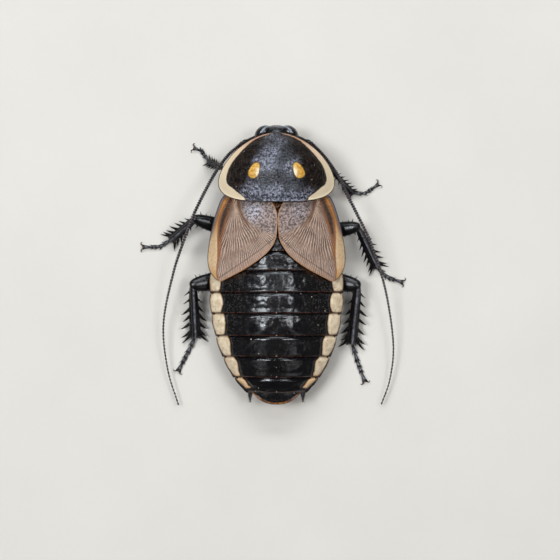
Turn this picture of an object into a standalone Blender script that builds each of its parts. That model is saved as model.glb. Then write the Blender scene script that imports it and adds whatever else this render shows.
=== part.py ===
# Glowspot cockroach: a still, life-size model with one closed solid for each named part.
# Metres, +Z up. The head points to +Y, and the six feet stand on the floor at z = 0.

import math

import bmesh
import bpy
from mathutils import Matrix, Vector

mm = 0.001

# Gap kept between two parts that meet
seam = 0.28 * mm

# Trunk, measured along Y from the middle of its length
tail_y = -18.1 * mm
widest_y = -3.0 * mm
wing_root_y = 8.9 * mm
trunk_half_width = 8.62 * mm
shoulder_curve = 16.8
tail_power = 0.5
margin_height = 4.3 * mm
tail_margin_height = 3.3 * mm
back_rise = 4.1 * mm
shoulder_rise = 3.2 * mm
thorax_drop = 0.8 * mm
belly_drop = 2.6 * mm
back_power = 1.05
belly_power = 0.6
trunk_top_steps = 20
trunk_bottom_steps = 12

# Thorax: where the rear ring begins, the small shield between the wing roots, and the front
# block's rings in millimetres: y, half width, lowest and highest point
metathorax_front_y = 5.3 * mm
scutellum_y = 7.6 * mm
scutellum_radii = Vector((0.8, 1.0, 0.3)) * mm
prothorax_rings = (
    (9.2, 4.6, 3.5, 8.45), (10.6, 4.6, 3.5, 8.95), (12.5, 4.1, 3.5, 8.8),
    (13.6, 2.7, 3.5, 7.4), (14.4, 1.5, 3.6, 5.6),
)
prothorax_powers = {"top": 0.85, "bottom": 0.5}

# Front edges of the seven ringed segments of the abdomen, then the tail plate's
segment_fronts = [y * mm for y in (1.8, -0.7, -3.5, -6.2, -9.1, -11.8, -14.5, -16.5)]
pale_lobe_share = 0.83
tail_plate_share = 0.79

# Pronotum, the shield over the head
shield_centre_y = 10.7 * mm
shield_half_width = 7.55 * mm
shield_front_reach = 6.38 * mm
shield_rear_reach = 2.55 * mm
# Powers of the cosine and sine that shape the rim ahead of its widest place and behind it
shield_front_powers = (1.15, 1.25)
shield_rear_powers = (0.62, 0.85)
shield_crown = 10.0 * mm
shield_crown_y = 11.3 * mm
# How far it falls from the crown to the front, rear and sides, and over what length
shield_front_fall = 3.5 * mm
shield_front_run = 5.9 * mm
shield_rear_fall = 0.6 * mm
shield_rear_run = 2.9 * mm
shield_side_fall = 4.5 * mm
shield_side_power = 2.3
shield_thickness = 0.5 * mm
glow_spot = Vector((2.88, 12.0)) * mm
glow_spot_size = 1.3 * mm
glow_spot_rise = 0.3 * mm

# Tegmina, the short leathery forewings: the right one's outline from its shoulder round its tip
wing_thickness = 0.5 * mm
wing_lift = 0.57 * mm
wing_rise = 0.42 * mm
wing_half_width = 9.2 * mm
wing_curve = 13.5
# The left wing reaches a little past the midline, and the right one begins there
wing_meeting_x = 0.16 * mm
wing_meeting_run = 3.0 * mm
wing_base = Vector((5.0, 7.9)) * mm
wing_outline = [
    Vector(point) * mm
    for point in (
        (4.8, 8.8), (6.3, 9.1), (7.0, 8.75), (7.6, 7.5), (8.35, 5.0), (8.83, 2.3),
        (8.93, 0.4), (8.5, -1.05), (7.45, -2.1), (6.2, -1.65), (4.0, -0.4), (2.5, 0.6),
        (1.3, 1.6), (0.45, 3.0), (0.15, 4.8), (0.2, 6.4), (0.7, 7.75), (2.4, 8.6),
    )
]
vein_height = 0.12 * mm

# Head, an egg that hangs below the shield's front edge
head_centre = Vector((0, 16.35, 3.45)) * mm
head_radii = Vector((2.25, 1.64, 2.35)) * mm
head_tilt = math.radians(-25)
# The eyes are set obliquely, their inner ends ahead of the outer ones
eye_centre = Vector((1.65, 17.05, 4.45)) * mm
eye_radii = Vector((1.22, 0.88, 1.2)) * mm
eye_yaw = math.radians(-33)
labrum_centre = Vector((0, 15.45, 0.95)) * mm
labrum_radii = Vector((0.85, 0.45, 0.62)) * mm
mandible_centre = Vector((0.95, 15.3, 1.35)) * mm
mandible_radii = Vector((0.5, 0.5, 0.72)) * mm

# Palps: the direction in which each leaves the head, then its bends in millimetres
palps = {
    "maxillary_palp": {"root": (0.75, 0.1, -0.75), "radius": 0.27,
                       "bends": ((2.5, 15.3, 1.0), (3.0, 16.3, 0.75), (2.6, 17.3, 0.6))},
    "labial_palp": {"root": (0.35, -0.55, -0.75), "radius": 0.26,
                    "bends": ((0.85, 14.1, 0.8), (1.15, 13.9, 0.5))},
}
palp_collar = 0.35 * mm
palp_tip_radius = 0.16 * mm

# Antennae: the scape's way out of the head and the points that each one passes to its tip
scape_root = (0.85, 0.45, -0.25)
scape_radius = 0.34 * mm
feeler_radius = 0.26 * mm
feeler_tip_radius = 0.14 * mm
scape_collar = 0.3 * mm
root_clearance = 0.05 * mm
scape_bends = [Vector(p) * mm for p in ((2.9, 16.5, 2.7), (3.45, 16.22, 3.05), (4.5, 15.8, 3.7))]
feeler_paths = {
    "left": [
        (-4.72, 15.62, 3.84), (-6.2, 14.35, 4.25), (-7.9, 12.0, 4.7), (-9.3, 9.4, 5.2),
        (-10.7, 6.5, 5.5), (-11.9, 3.4, 5.1), (-13.4, -1.0, 4.0), (-14.8, -7.7, 2.4),
        (-14.3, -13.7, 1.4), (-12.9, -18.4, 1.0),
    ],
    "right": [
        (4.72, 15.62, 3.84), (6.15, 14.2, 4.25), (7.9, 11.7, 4.7), (9.2, 9.0, 5.1),
        (10.9, 5.6, 5.3), (12.3, 2.6, 4.9), (14.2, -3.3, 3.6), (15.3, -10.3, 2.1),
        (14.9, -15.0, 1.3), (13.8, -18.3, 1.0),
    ],
}
feeler_steps = {"base": (0, 39), "middle": (39, 81), "tip": (81, 120)}

# Legs in millimetres, in the photographed stance: the coxa's ends, the knee, and a foot's route
leg_joints = {
    "fore_left": {"root": (-2.6, 12.5, 2.8), "hip": (-2.5, 9.4, 2.68), "knee": (-6.9, 12.6, 2.5),
                  "ankle": (-9.05, 13.75, 0.62), "sole": (-9.95, 15.1), "toe": (-10.75, 15.4)},
    "fore_right": {"root": (2.6, 12.5, 2.8), "hip": (2.5, 9.4, 2.68), "knee": (6.9, 12.7, 2.6),
                   "ankle": (10.1, 9.4, 0.62), "sole": (11.7, 9.5), "toe": (13.3, 10.6)},
    "mid_left": {"root": (-3.9, 7.6, 2.86), "hip": (-2.9, 3.9, 2.7), "knee": (-10.6, 6.0, 3.5),
                 "ankle": (-13.95, 3.3, 0.62), "sole": (-15.5, 2.45), "toe": (-17.5, 2.4)},
    "mid_right": {"root": (3.9, 7.6, 2.86), "hip": (2.9, 3.9, 2.7), "knee": (10.55, 5.0, 3.2),
                  "ankle": (13.2, -0.3, 0.62), "sole": (14.7, -1.6), "toe": (16.5, -2.2)},
    "hind_left": {"root": (-3.9, 2.9, 2.86), "hip": (-2.9, -1.0, 2.66), "knee": (-10.9, -2.6, 3.3),
                  "ankle": (-10.7, -9.5, 0.68), "sole": (-11.95, -11.95), "toe": (-12.9, -13.8)},
    "hind_right": {"root": (3.9, 2.9, 2.86), "hip": (2.9, -1.0, 2.66), "knee": (10.6, -2.7, 2.9),
                   "ankle": (9.9, -10.3, 0.68), "sole": (10.9, -13.3), "toe": (11.6, -15.2)},
}
# Half width and half depth of each limb in millimetres, and the spines on each side of a tibia
limb_sizes = {
    "fore": {"coxa": (0.95, 0.5), "femur": (0.8, 0.54), "tibia": (0.37, 0.36), "spines": 4},
    "mid": {"coxa": (1.15, 0.5), "femur": (1.02, 0.56), "tibia": (0.52, 0.44), "spines": 4},
    "hind": {"coxa": (1.3, 0.5), "femur": (1.2, 0.58), "tibia": (0.6, 0.5), "spines": 5},
}
# Along each limb: the share of its length, of its half width and of its half depth
coxa_stations = ((0, 0.6, 0.6), (0.12, 0.92, 0.88), (0.4, 1, 1), (0.75, 0.82, 0.88), (1, 0.5, 0.6))
femur_stations = (
    (0, 0.34, 0.5), (0.05, 0.44, 0.68), (0.12, 0.42, 0.68), (0.3, 0.94, 0.82),
    (0.6, 1, 1), (0.81, 0.92, 0.98), (0.91, 0.72, 0.9), (1, 0.42, 0.72),
)
tibia_stations = ((0, 0.64, 0.7), (0.2, 0.86, 0.9), (0.5, 1, 0.95), (0.84, 1.1, 1), (1, 0.68, 0.68))
thigh_root_height = 1.42 * mm
thigh_setback = 0.2 * mm
instep_height_share = 0.78
foot_radius = 0.27 * mm
foot_height = 0.21 * mm
spine_radius = 0.26 * mm
spine_length = 1.35 * mm
spur_setback = 0.62 * mm
thigh_spine_length = 1.0 * mm
foot_sides = 8
foot_joint_ends = (0.31, 0.49, 0.61, 0.7, 1.0)
# Each claw's points ahead of the foot's tip, out from its middle and up, in millimetres
claw_bends = ((-0.25, 0.1, 0.0), (0.1, 0.26, 0.14), (0.32, 0.5, 0.1), (0.3, 0.75, -0.05))
claw_radii = [radius * mm for radius in (0.26, 0.2, 0.14, 0.05)]

# Cerci, the two short feelers at the tail
cercus_root = Vector((3.42, -16.74, 3.22)) * mm
cercus_tip = Vector((3.46, -17.85, 2.95)) * mm


def clear_scene():
    for obj in list(bpy.data.objects):
        bpy.data.objects.remove(obj, do_unlink=True)


def make_collection(name):
    collection = bpy.data.collections.new(name)
    bpy.context.scene.collection.children.link(collection)
    return collection


def make_material(name, colour, roughness):
    material = bpy.data.materials.new(name)
    material.use_nodes = True
    shader = material.node_tree.nodes["Principled BSDF"]
    shader.inputs["Base Color"].default_value = (*colour, 1)
    shader.inputs["Roughness"].default_value = roughness
    return material


def mix(a, b, share):
    return a + (b - a) * share


def share_between(value, start, end):
    return min(max((value - start) / (end - start), 0.0), 1.0)


def smooth(share):
    return share * share * (3 - 2 * share)


# Points evenly spaced along a smooth curve through the given ones
def smooth_route(points, count, closed=False):
    fine = []
    spans = len(points) if closed else len(points) - 1
    for span in range(spans):
        if closed:
            a, b, c, d = (points[(span + k) % len(points)] for k in (-1, 0, 1, 2))
        else:
            b, c = points[span], points[span + 1]
            a = points[span - 1] if span > 0 else b * 2 - c
            d = points[span + 2] if span + 2 < len(points) else c * 2 - b
        for step in range(24):
            t = step / 24
            fine.append(
                (b * 2 + (c - a) * t + (a * 2 - b * 5 + c * 4 - d) * t ** 2
                 + (b * 3 - a - c * 3 + d) * t ** 3) * 0.5
            )
    fine.append(points[0] if closed else points[-1])
    reached = [0.0]
    for a, b in zip(fine, fine[1:]):
        reached.append(reached[-1] + (b - a).length)
    route, place = [], 0
    for step in range(count):
        wanted = reached[-1] * step / (count if closed else count - 1)
        while place < len(fine) - 2 and reached[place + 1] < wanted:
            place += 1
        share = (wanted - reached[place]) / (reached[place + 1] - reached[place])
        route.append(fine[place].lerp(fine[place + 1], share))
    return route


def add_object(name, mesh, materials, collection):
    obj = bpy.data.objects.new(name, mesh)
    for material in materials:
        mesh.materials.append(material)
    collection.objects.link(obj)
    return obj


def finish_mesh(bm, name, materials, collection):
    bmesh.ops.recalc_face_normals(bm, faces=bm.faces)
    mesh = bpy.data.meshes.new(name)
    bm.to_mesh(mesh)
    bm.free()
    mesh.shade_smooth()
    mesh.set_sharp_from_angle(angle=math.radians(50))
    return add_object(name, mesh, materials, collection)


# A closed solid through rings of points, with flat ends
def loft(name, rings, materials, collection):
    bm = bmesh.new()
    loops = [[bm.verts.new(point) for point in ring] for ring in rings]
    for lower, upper in zip(loops, loops[1:]):
        for i in range(len(lower)):
            j = (i + 1) % len(lower)
            bm.faces.new((lower[i], lower[j], upper[j], upper[i]))
    bm.faces.new(loops[0])
    bm.faces.new(loops[-1])
    return finish_mesh(bm, name, materials, collection)


def ellipsoid(name, centre, radii, turn, materials, collection, segments=18, rings=11):
    bm = bmesh.new()
    bmesh.ops.create_uvsphere(bm, u_segments=segments, v_segments=rings, radius=1)
    bmesh.ops.transform(bm, verts=bm.verts, matrix=turn @ Matrix.Diagonal((*radii, 1)))
    bmesh.ops.translate(bm, verts=bm.verts, vec=centre)
    return finish_mesh(bm, name, materials, collection)


# A tube with one radius for each point, as a curve that is then made a closed mesh
def tube(name, points, radii, materials, collection, sides_level=2):
    curve = bpy.data.curves.new(name, "CURVE")
    curve.dimensions = "3D"
    curve.bevel_depth = 1.0
    curve.bevel_resolution = sides_level
    curve.use_fill_caps = True
    spline = curve.splines.new("POLY")
    spline.points.add(len(points) - 1)
    for target, point, radius in zip(spline.points, points, radii):
        target.co = (*point, 1)
        target.radius = radius
    holder = bpy.data.objects.new(name + "_curve", curve)
    collection.objects.link(holder)
    graph = bpy.context.evaluated_depsgraph_get()
    mesh = bpy.data.meshes.new_from_object(holder.evaluated_get(graph))
    bpy.data.objects.remove(holder)
    bpy.data.curves.remove(curve)
    bm = bmesh.new()
    bm.from_mesh(mesh)
    bpy.data.meshes.remove(mesh)
    bmesh.ops.remove_doubles(bm, verts=bm.verts, dist=1e-6)
    return finish_mesh(bm, name, materials, collection)


# Keeps the largest closed surface of a mesh
def keep_largest(mesh):
    bm = bmesh.new()
    bm.from_mesh(mesh)
    unseen, groups = set(bm.verts), []
    while unseen:
        group, front = set(), [unseen.pop()]
        while front:
            vert = front.pop()
            group.add(vert)
            near = {edge.other_vert(vert) for edge in vert.link_edges} & unseen
            unseen -= near
            front.extend(near)
        groups.append(group)
    groups.sort(key=len)
    for group in groups[:-1]:
        bmesh.ops.delete(bm, geom=list(group), context="VERTS")
    bm.to_mesh(mesh)
    bm.free()


# Joins or cuts a solid with a list of closed meshes, applies it, and removes them
def combine(base, others, operation):
    tools = make_collection(base.name + "_tools")
    for other in others:
        for owner in list(other.users_collection):
            owner.objects.unlink(other)
        tools.objects.link(other)
    modifier = base.modifiers.new("Combine", "BOOLEAN")
    modifier.operation = operation
    modifier.operand_type = "COLLECTION"
    modifier.collection = tools
    modifier.solver = "EXACT"
    bpy.context.view_layer.update()
    graph = bpy.context.evaluated_depsgraph_get()
    mesh = bpy.data.meshes.new_from_object(base.evaluated_get(graph))
    base.modifiers.clear()
    old, base.data = base.data, mesh
    bpy.data.meshes.remove(old)
    for other in others:
        bpy.data.objects.remove(other, do_unlink=True)
    bpy.data.collections.remove(tools)
    keep_largest(base.data)
    return base


# Share of the trunk's full size that is left at y: 1 ahead of its widest place, 0 at the tail
def tail_taper(y):
    return max(1 - share_between(y, widest_y, tail_y) ** 2, 0.004)


def trunk_width(y):
    if y < widest_y:
        return trunk_half_width * tail_taper(y) ** tail_power
    return trunk_half_width - shoulder_curve * (y - widest_y) ** 2


def trunk_margin(y):
    return mix(margin_height, tail_margin_height, share_between(y, widest_y, tail_y) ** 2)


def trunk_rise(y):
    shoulder = share_between(y, 0, wing_root_y) ** 2
    return mix(back_rise, shoulder_rise, shoulder) * tail_taper(y) ** 0.55


def trunk_drop(y):
    lowering = smooth(share_between(y, 1 * mm, -8 * mm))
    return mix(thorax_drop, belly_drop, lowering) * tail_taper(y) ** 0.5


# A cross-section of the trunk at y, swollen outwards by the given amount
def trunk_ring(y, swell=0.0, top=True, bottom=True):
    width = trunk_width(y) + swell * 0.8
    margin = trunk_margin(y)
    if top != bottom:
        margin += seam / 2 if top else -seam / 2
    ring = []
    for step in range(trunk_top_steps + 1):
        u = math.cos(math.pi * step / trunk_top_steps)
        rise = (trunk_rise(y) + swell) * max(1 - u * u, 0) ** back_power
        ring.append(Vector((width * u, y, margin + (rise if top else 0))))
    for step in range(1, trunk_bottom_steps):
        u = -math.cos(math.pi * step / trunk_bottom_steps)
        drop = trunk_drop(y) * max(1 - u * u, 0) ** belly_power
        ring.append(Vector((width * u, y, margin - (drop if bottom else 0))))
    return ring


def trunk_block(name, front, rear, plate, materials, collection):
    rings = []
    for share, swell in plate:
        y = mix(front - seam / 2, rear + seam / 2, share)
        rings.append(trunk_ring(y, swell * mm))
    return loft(name, rings, materials, collection)


# The abdomen's rings: each plate swells towards its rear edge, where it laps the next
def build_abdomen(black, cream, amber, collection):
    plate = [(0, -0.16), (0.14, -0.02), (0.6, 0.03), (0.93, 0.12), (1, 0.06)]
    for number, (front, rear) in enumerate(zip(segment_fronts, segment_fronts[1:]), 1):
        pale = amber if number == len(segment_fronts) - 1 else cream
        ring = trunk_block(f"abdomen_{number}", front, rear, plate, [black, pale], collection)
        for face in ring.data.polygons:
            centre = face.center
            outer = abs(centre.x) > pale_lobe_share * trunk_width(centre.y)
            above = centre.z > trunk_margin(centre.y)
            face.material_index = int(outer and above and abs(face.normal.y) < 0.9)
    start = segment_fronts[-1] - seam / 2
    for name, top, material in (
        ("supra_anal_plate", True, black),
        ("subgenital_plate", False, amber),
    ):
        rings = []
        for share in (0, 0.3, 0.55, 0.76, 0.9, 0.98):
            y = mix(start, tail_y, share)
            ring = trunk_ring(y, 0, top, not top)
            rings.append([Vector((p.x * tail_plate_share, p.y, p.z)) for p in ring])
        loft(name, rings, [material], collection)


# Meso- and metathorax, and the narrower prothorax that carries the shield and the head
def build_thorax(black, collection):
    plate = [(0, -0.1), (0.2, 0), (1, 0.04)]
    trunk_block("metathorax", metathorax_front_y, segment_fronts[0], plate, [black], collection)
    middle = trunk_block("mesothorax", wing_root_y, metathorax_front_y, plate, [black], collection)
    top = trunk_margin(0) + trunk_rise(scutellum_y)
    scutellum = ellipsoid(
        "scutellum", Vector((0, scutellum_y, top)), scutellum_radii, Matrix.Identity(4),
        [black], collection, 12, 7,
    )
    combine(middle, [scutellum], "UNION")
    rings = []
    for y, width, low, high in prothorax_rings:
        ring = []
        for step in range(20):
            angle = math.tau * step / 20
            across, rise = math.cos(angle), math.sin(angle)
            power = prothorax_powers["top" if rise > 0 else "bottom"]
            x = width * math.copysign(abs(across) ** power, across)
            z = mix(low, high, 0.5) + (high - low) / 2 * math.copysign(abs(rise) ** power, rise)
            ring.append(Vector((x, y, z)) * mm)
        rings.append(ring)
    loft("prothorax", rings, [black], collection)


# A thin curved sheet: half a sphere's rings and spokes laid out by place(turn, share)
def disc_shell(name, place, spokes, rings, thickness, materials, collection):
    bm = bmesh.new()
    bmesh.ops.create_uvsphere(bm, u_segments=spokes, v_segments=rings * 2, radius=1)
    lower = [vert for vert in bm.verts if vert.co.z < -1e-4]
    bmesh.ops.delete(bm, geom=lower, context="VERTS")
    for vert in bm.verts:
        turn = math.atan2(vert.co.y, vert.co.x) / math.tau % 1
        vert.co = place(turn, min(math.hypot(vert.co.x, vert.co.y), 1))
    bm.normal_update()
    if sum(face.normal.z for face in bm.faces) < 0:
        bmesh.ops.reverse_faces(bm, faces=bm.faces)
    mesh = bpy.data.meshes.new(name)
    bm.to_mesh(mesh)
    bm.free()
    mesh.shade_smooth()
    shell = add_object(name, mesh, materials, collection)
    solidify = shell.modifiers.new("Thickness", "SOLIDIFY")
    solidify.thickness = thickness
    solidify.offset = -1
    solidify.use_even_offset = True
    return shell


def shield_height(x, y):
    if y > shield_crown_y:
        fall = shield_front_fall * ((y - shield_crown_y) / shield_front_run) ** 2
    else:
        fall = shield_rear_fall * ((shield_crown_y - y) / shield_rear_run) ** 2
    side = shield_side_fall * (abs(x) / shield_half_width) ** shield_side_power
    away = (Vector((abs(x), y)) - glow_spot).length / glow_spot_size
    return shield_crown - fall - side + glow_spot_rise * max(1 - away * away, 0) ** 2


# The shield's rim narrows to a blunt front, and its rear is nearly straight
def shield_place(turn, share):
    angle = math.tau * turn
    across, along = math.cos(angle), math.sin(angle)
    if along >= 0:
        powers, reach = shield_front_powers, shield_front_reach
    else:
        powers, reach = shield_rear_powers, -shield_rear_reach
    x = math.copysign(shield_half_width * abs(across) ** powers[0], across) * share
    y = reach * abs(along) ** powers[1]
    y = shield_centre_y + y * share
    return Vector((x, y, shield_height(x, y)))


def wing_height(x, y):
    width = wing_half_width - wing_curve * (y - widest_y) ** 2
    across = max(1 - (x / width) ** 2, 0)
    return trunk_margin(y) + wing_lift + (trunk_rise(y) + wing_rise) * across ** back_power


# Veins fan out from the wing's base as ridges, strongest in the middle of their length
def build_wing(name, side, material, collection):
    spokes = 36
    rim = smooth_route(wing_outline, spokes, closed=True)

    def place(turn, share):
        spoke = round(turn * spokes) % spokes
        point = wing_base.lerp(rim[spoke], share)
        ridge = 0.0
        if spoke % 2 == 0 and share > 0.2:
            ridge = vein_height * 4 * share * (1 - share)
        height = wing_height(point.x, point.y) + ridge
        shift = wing_meeting_x * (1 - smooth(share_between(point.x, 0, wing_meeting_run)))
        return Vector((side * point.x + shift, point.y, height))

    return disc_shell(name, place, spokes, 5, wing_thickness, [material], collection)


# A point on the head's skin in a direction given in the head's own tilted axes
def head_point(direction, clearance):
    direction = Vector(direction).normalized()
    local = Vector([radius * part for radius, part in zip(head_radii, direction)])
    normal = Vector([part / radius for radius, part in zip(head_radii, direction)]).normalized()
    turn = Matrix.Rotation(head_tilt, 3, "X")
    return head_centre + turn @ (local + normal * clearance), turn @ normal


def mirrored(point, side):
    return Vector((point.x * side, point.y, point.z))


def build_head(black, glassy, amber, collection):
    tilt = Matrix.Rotation(head_tilt, 4, "X")
    head = ellipsoid("head", head_centre, head_radii, tilt, [black], collection, 22, 14)
    mandibles = []
    for side in (-1, 1):
        centre = mirrored(mandible_centre, side)
        mandibles.append(ellipsoid("mandible", centre, mandible_radii, tilt,
                                   [black], collection, 10, 6))
    combine(head, mandibles, "UNION")
    sockets = []
    grown = Vector((seam, seam, seam))
    for side_name, side in (("left", -1), ("right", 1)):
        centre = mirrored(eye_centre, side)
        turn = Matrix.Rotation(eye_yaw * side, 4, "Z") @ tilt
        ellipsoid("eye_" + side_name, centre, eye_radii, turn, [glassy], collection, 16, 10)
        sockets.append(ellipsoid("socket", centre, eye_radii + grown, turn,
                                 [black], collection, 16, 10))
    ellipsoid("labrum", labrum_centre, labrum_radii, tilt, [black], collection, 14, 8)
    sockets.append(ellipsoid("socket", labrum_centre, labrum_radii + grown, tilt,
                             [black], collection, 14, 8))
    combine(head, sockets, "DIFFERENCE")
    for side_name, side in (("left", -1), ("right", 1)):
        build_palps(side_name, side, amber, collection)


# Jointed palps below the mouth: each swells a little before every joint
def build_palps(side_name, side, material, collection):
    for kind, palp in palps.items():
        root, normal = head_point(palp["root"], seam + root_clearance)
        points = [root, root + normal * palp_collar] + [Vector(p) * mm for p in palp["bends"]]
        route = smooth_route(points, 11)
        radii = [palp["radius"] * mm * (1.0 if step % 3 else 0.93) for step in range(11)]
        radii[-1] = palp_tip_radius
        route = [mirrored(point, side) for point in route]
        tube(f"{kind}_{side_name}", route, radii, [material], collection)


def build_antenna(side_name, side, black, collection):
    root, normal = head_point(scape_root, seam + root_clearance)
    route = smooth_route([root, root + normal * scape_collar] + scape_bends, 9)
    radii = [scape_radius * size for size in (0.8, 0.85, 0.95, 1.0, 1.02, 0.9, 0.82, 0.95, 0.8)]
    route = [mirrored(point, side) for point in route]
    tube("scape_" + side_name, route, radii, [black], collection)
    whole = smooth_route([Vector(p) * mm for p in feeler_paths[side_name]], 121)
    for part, (first, last) in feeler_steps.items():
        kept = whole[first:last + 1:3]
        kept[-1] = kept[-1] - (kept[-1] - kept[-2]).normalized() * seam
        radii = []
        for step in range(first, last + 1, 3):
            thinning = smooth(share_between(step, 85, 120))
            radii.append(mix(feeler_radius, feeler_tip_radius, thinning))
        tube(f"flagellum_{part}_{side_name}", kept, radii, [black], collection, 1)


# An elliptical ring square to a direction
def limb_ring(centre, direction, wide, deep, sides=12):
    side = direction.cross(Vector((0, 0, 1))).normalized()
    up = side.cross(direction).normalized()
    ring = []
    for step in range(sides):
        angle = math.tau * (step + 0.5) / sides
        ring.append(centre + side * wide * math.cos(angle) + up * deep * math.sin(angle))
    return ring


# A limb between two points, its rings given by stations and its half width and half depth
def limb(name, start, end, stations, size, material, collection, start_face=None, end_face=None):
    direction = (end - start).normalized()
    wide, deep = (part * mm for part in size)
    rings = []
    for share, wide_share, deep_share in stations:
        centre = start.lerp(end, share)
        rings.append(limb_ring(centre, direction, wide * wide_share, deep * deep_share))
    if start_face:
        rings[0] = slide_to_plane(rings[0], direction, start_face)
    if end_face:
        rings[-1] = slide_to_plane(rings[-1], direction, end_face)
    return loft(name, rings, [material], collection)


# Moves a ring's points along a direction until they lie in a plane
def slide_to_plane(ring, direction, plane):
    place, normal = plane
    slope = direction.dot(normal)
    return [point + direction * ((place - point).dot(normal) / slope) for point in ring]


# Two facing planes across a joint, half a seam to each side of it, that halve its bend
def joint_faces(joint, direction_in, direction_out):
    normal = (direction_in + direction_out).normalized()
    return (joint - normal * seam / 2, normal), (joint + normal * seam / 2, normal)


def spine(root, direction, length, radius, material, collection):
    bm = bmesh.new()
    bmesh.ops.create_cone(
        bm, segments=5, radius1=radius, radius2=0.03 * mm, depth=length,
        cap_ends=True, matrix=Matrix.Translation((0, 0, length / 2)),
    )
    turn = direction.to_track_quat("Z", "X").to_matrix().to_4x4()
    bmesh.ops.transform(bm, verts=bm.verts, matrix=Matrix.Translation(root) @ turn)
    return finish_mesh(bm, "spine", [material], collection)


# Spines in a row down each side of a limb, leaning to the foot and longer towards it
def side_spines(start, end, half_width, count, stretch, length, material, collection):
    direction = (end - start).normalized()
    side = direction.cross(Vector((0, 0, 1))).normalized()
    up = side.cross(direction).normalized()
    pieces = []
    for row in (-1, 1):
        for step in range(count):
            share = mix(*stretch, (step + (0.3 if row > 0 else 0)) / count)
            lean = (side * row + direction * 0.75 + up * 0.15).normalized()
            root = start.lerp(end, share) + side * row * half_width * 0.45
            reach = length * mix(0.75, 1.0, share)
            pieces.append(spine(root, lean, reach, spine_radius, material, collection))
    return pieces


# The longer spurs that stand round the end of a tibia
def end_spurs(start, end, half_width, material, collection):
    direction = (end - start).normalized()
    side = direction.cross(Vector((0, 0, 1))).normalized()
    up = side.cross(direction).normalized()
    pieces = []
    for row, rise in ((-1, 0.1), (1, 0.1), (-0.4, 0.85), (0.45, 0.9)):
        lean = (side * row + direction * 0.85 + up * rise).normalized()
        root = end - direction * spur_setback + side * row * half_width * 0.5
        pieces.append(spine(root, lean, spine_length * 1.1, spine_radius, material, collection))
    return pieces


# A foot of five joints that comes down to the floor, cut flat below, with two hooked claws
def build_foot(name, points, face, material, collection):
    route = smooth_route(points, 20)
    rings, before = [], 0.0
    for joint_end in foot_joint_ends:
        for share, size in ((0.08, 0.9), (0.75, 1.1), (0.97, 1.16)):
            place = mix(before, joint_end, share) * (len(route) - 1)
            low = min(int(place), len(route) - 2)
            centre = route[low].lerp(route[low + 1], place - low)
            direction = (route[low + 1] - route[low]).normalized()
            radius = foot_radius * size
            rings.append(limb_ring(centre, direction, radius, radius, foot_sides))
        before = joint_end
    rings[0] = slide_to_plane(rings[0], (route[1] - route[0]).normalized(), face)
    foot = loft(name, rings, [material], collection)
    combine(foot, foot_claws(route[-2], route[-1], material, collection), "UNION")
    bm = bmesh.new()
    bm.from_mesh(foot.data)
    cut = bmesh.ops.bisect_plane(
        bm, geom=bm.verts[:] + bm.edges[:] + bm.faces[:], plane_co=(0, 0, 0),
        plane_no=(0, 0, -1), clear_outer=True,
    )
    edges = [item for item in cut["geom_cut"] if isinstance(item, bmesh.types.BMEdge)]
    bmesh.ops.holes_fill(bm, edges=edges, sides=0)
    bm.to_mesh(foot.data)
    bm.free()
    keep_largest(foot.data)
    return foot


# Two claws that spread from the foot's tip and hook down
def foot_claws(before, toe, material, collection):
    forward = (toe - before).normalized()
    across = forward.cross(Vector((0, 0, 1))).normalized()
    claws = []
    for row in (-1, 1):
        hook = []
        for ahead, out, rise in claw_bends:
            hook.append(toe + (forward * ahead + across * row * out + Vector((0, 0, rise))) * mm)
        claws.append(tube("claw", hook, claw_radii, [material], collection, 1))
    return claws


def build_leg(name, joints, sizes, material, collection):
    root, hip, knee, ankle = (Vector(joints[key]) * mm for key in ("root", "hip", "knee", "ankle"))
    sole, toe = (Vector((*joints[key], 0)) * mm for key in ("sole", "toe"))
    sole.z = toe.z = foot_height
    instep = ankle.lerp(sole, 0.5)
    instep.z = mix(ankle.z, foot_height, instep_height_share)
    limb("coxa_" + name, root, hip, coxa_stations, sizes["coxa"], material, collection)

    thigh_start = Vector((hip.x, hip.y - thigh_setback, thigh_root_height))
    thigh_way = (knee - thigh_start).normalized()
    shin_way = (ankle - knee).normalized()
    foot_way = (instep - ankle).normalized()
    thigh_face, shin_face = joint_faces(knee, thigh_way, shin_way)
    ankle_face, foot_face = joint_faces(ankle, shin_way, foot_way)

    thigh = limb("femur_" + name, thigh_start, knee, femur_stations, sizes["femur"],
                 material, collection, end_face=thigh_face)
    wide = sizes["femur"][0] * mm
    pieces = side_spines(thigh_start, knee, wide, 2, (0.55, 0.88), thigh_spine_length,
                         material, collection)
    combine(thigh, pieces, "UNION")

    shin = limb("tibia_" + name, knee, ankle, tibia_stations, sizes["tibia"],
                material, collection, shin_face, ankle_face)
    thin = sizes["tibia"][0] * mm
    pieces = side_spines(knee, ankle, thin, sizes["spines"], (0.2, 0.8), spine_length,
                         material, collection)
    pieces += end_spurs(knee, ankle, thin, material, collection)
    combine(shin, pieces, "UNION")

    foot = [ankle, instep, sole, toe]
    build_foot("tarsus_" + name, foot, foot_face, material, collection)


def build_cerci(black, collection):
    for side_name, side in (("left", -1), ("right", 1)):
        route = smooth_route([mirrored(cercus_root, side), mirrored(cercus_tip, side)], 6)
        radii = [size * mm for size in (0.26, 0.3, 0.28, 0.24, 0.16, 0.06)]
        tube("cercus_" + side_name, route, radii, [black], collection)


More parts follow.
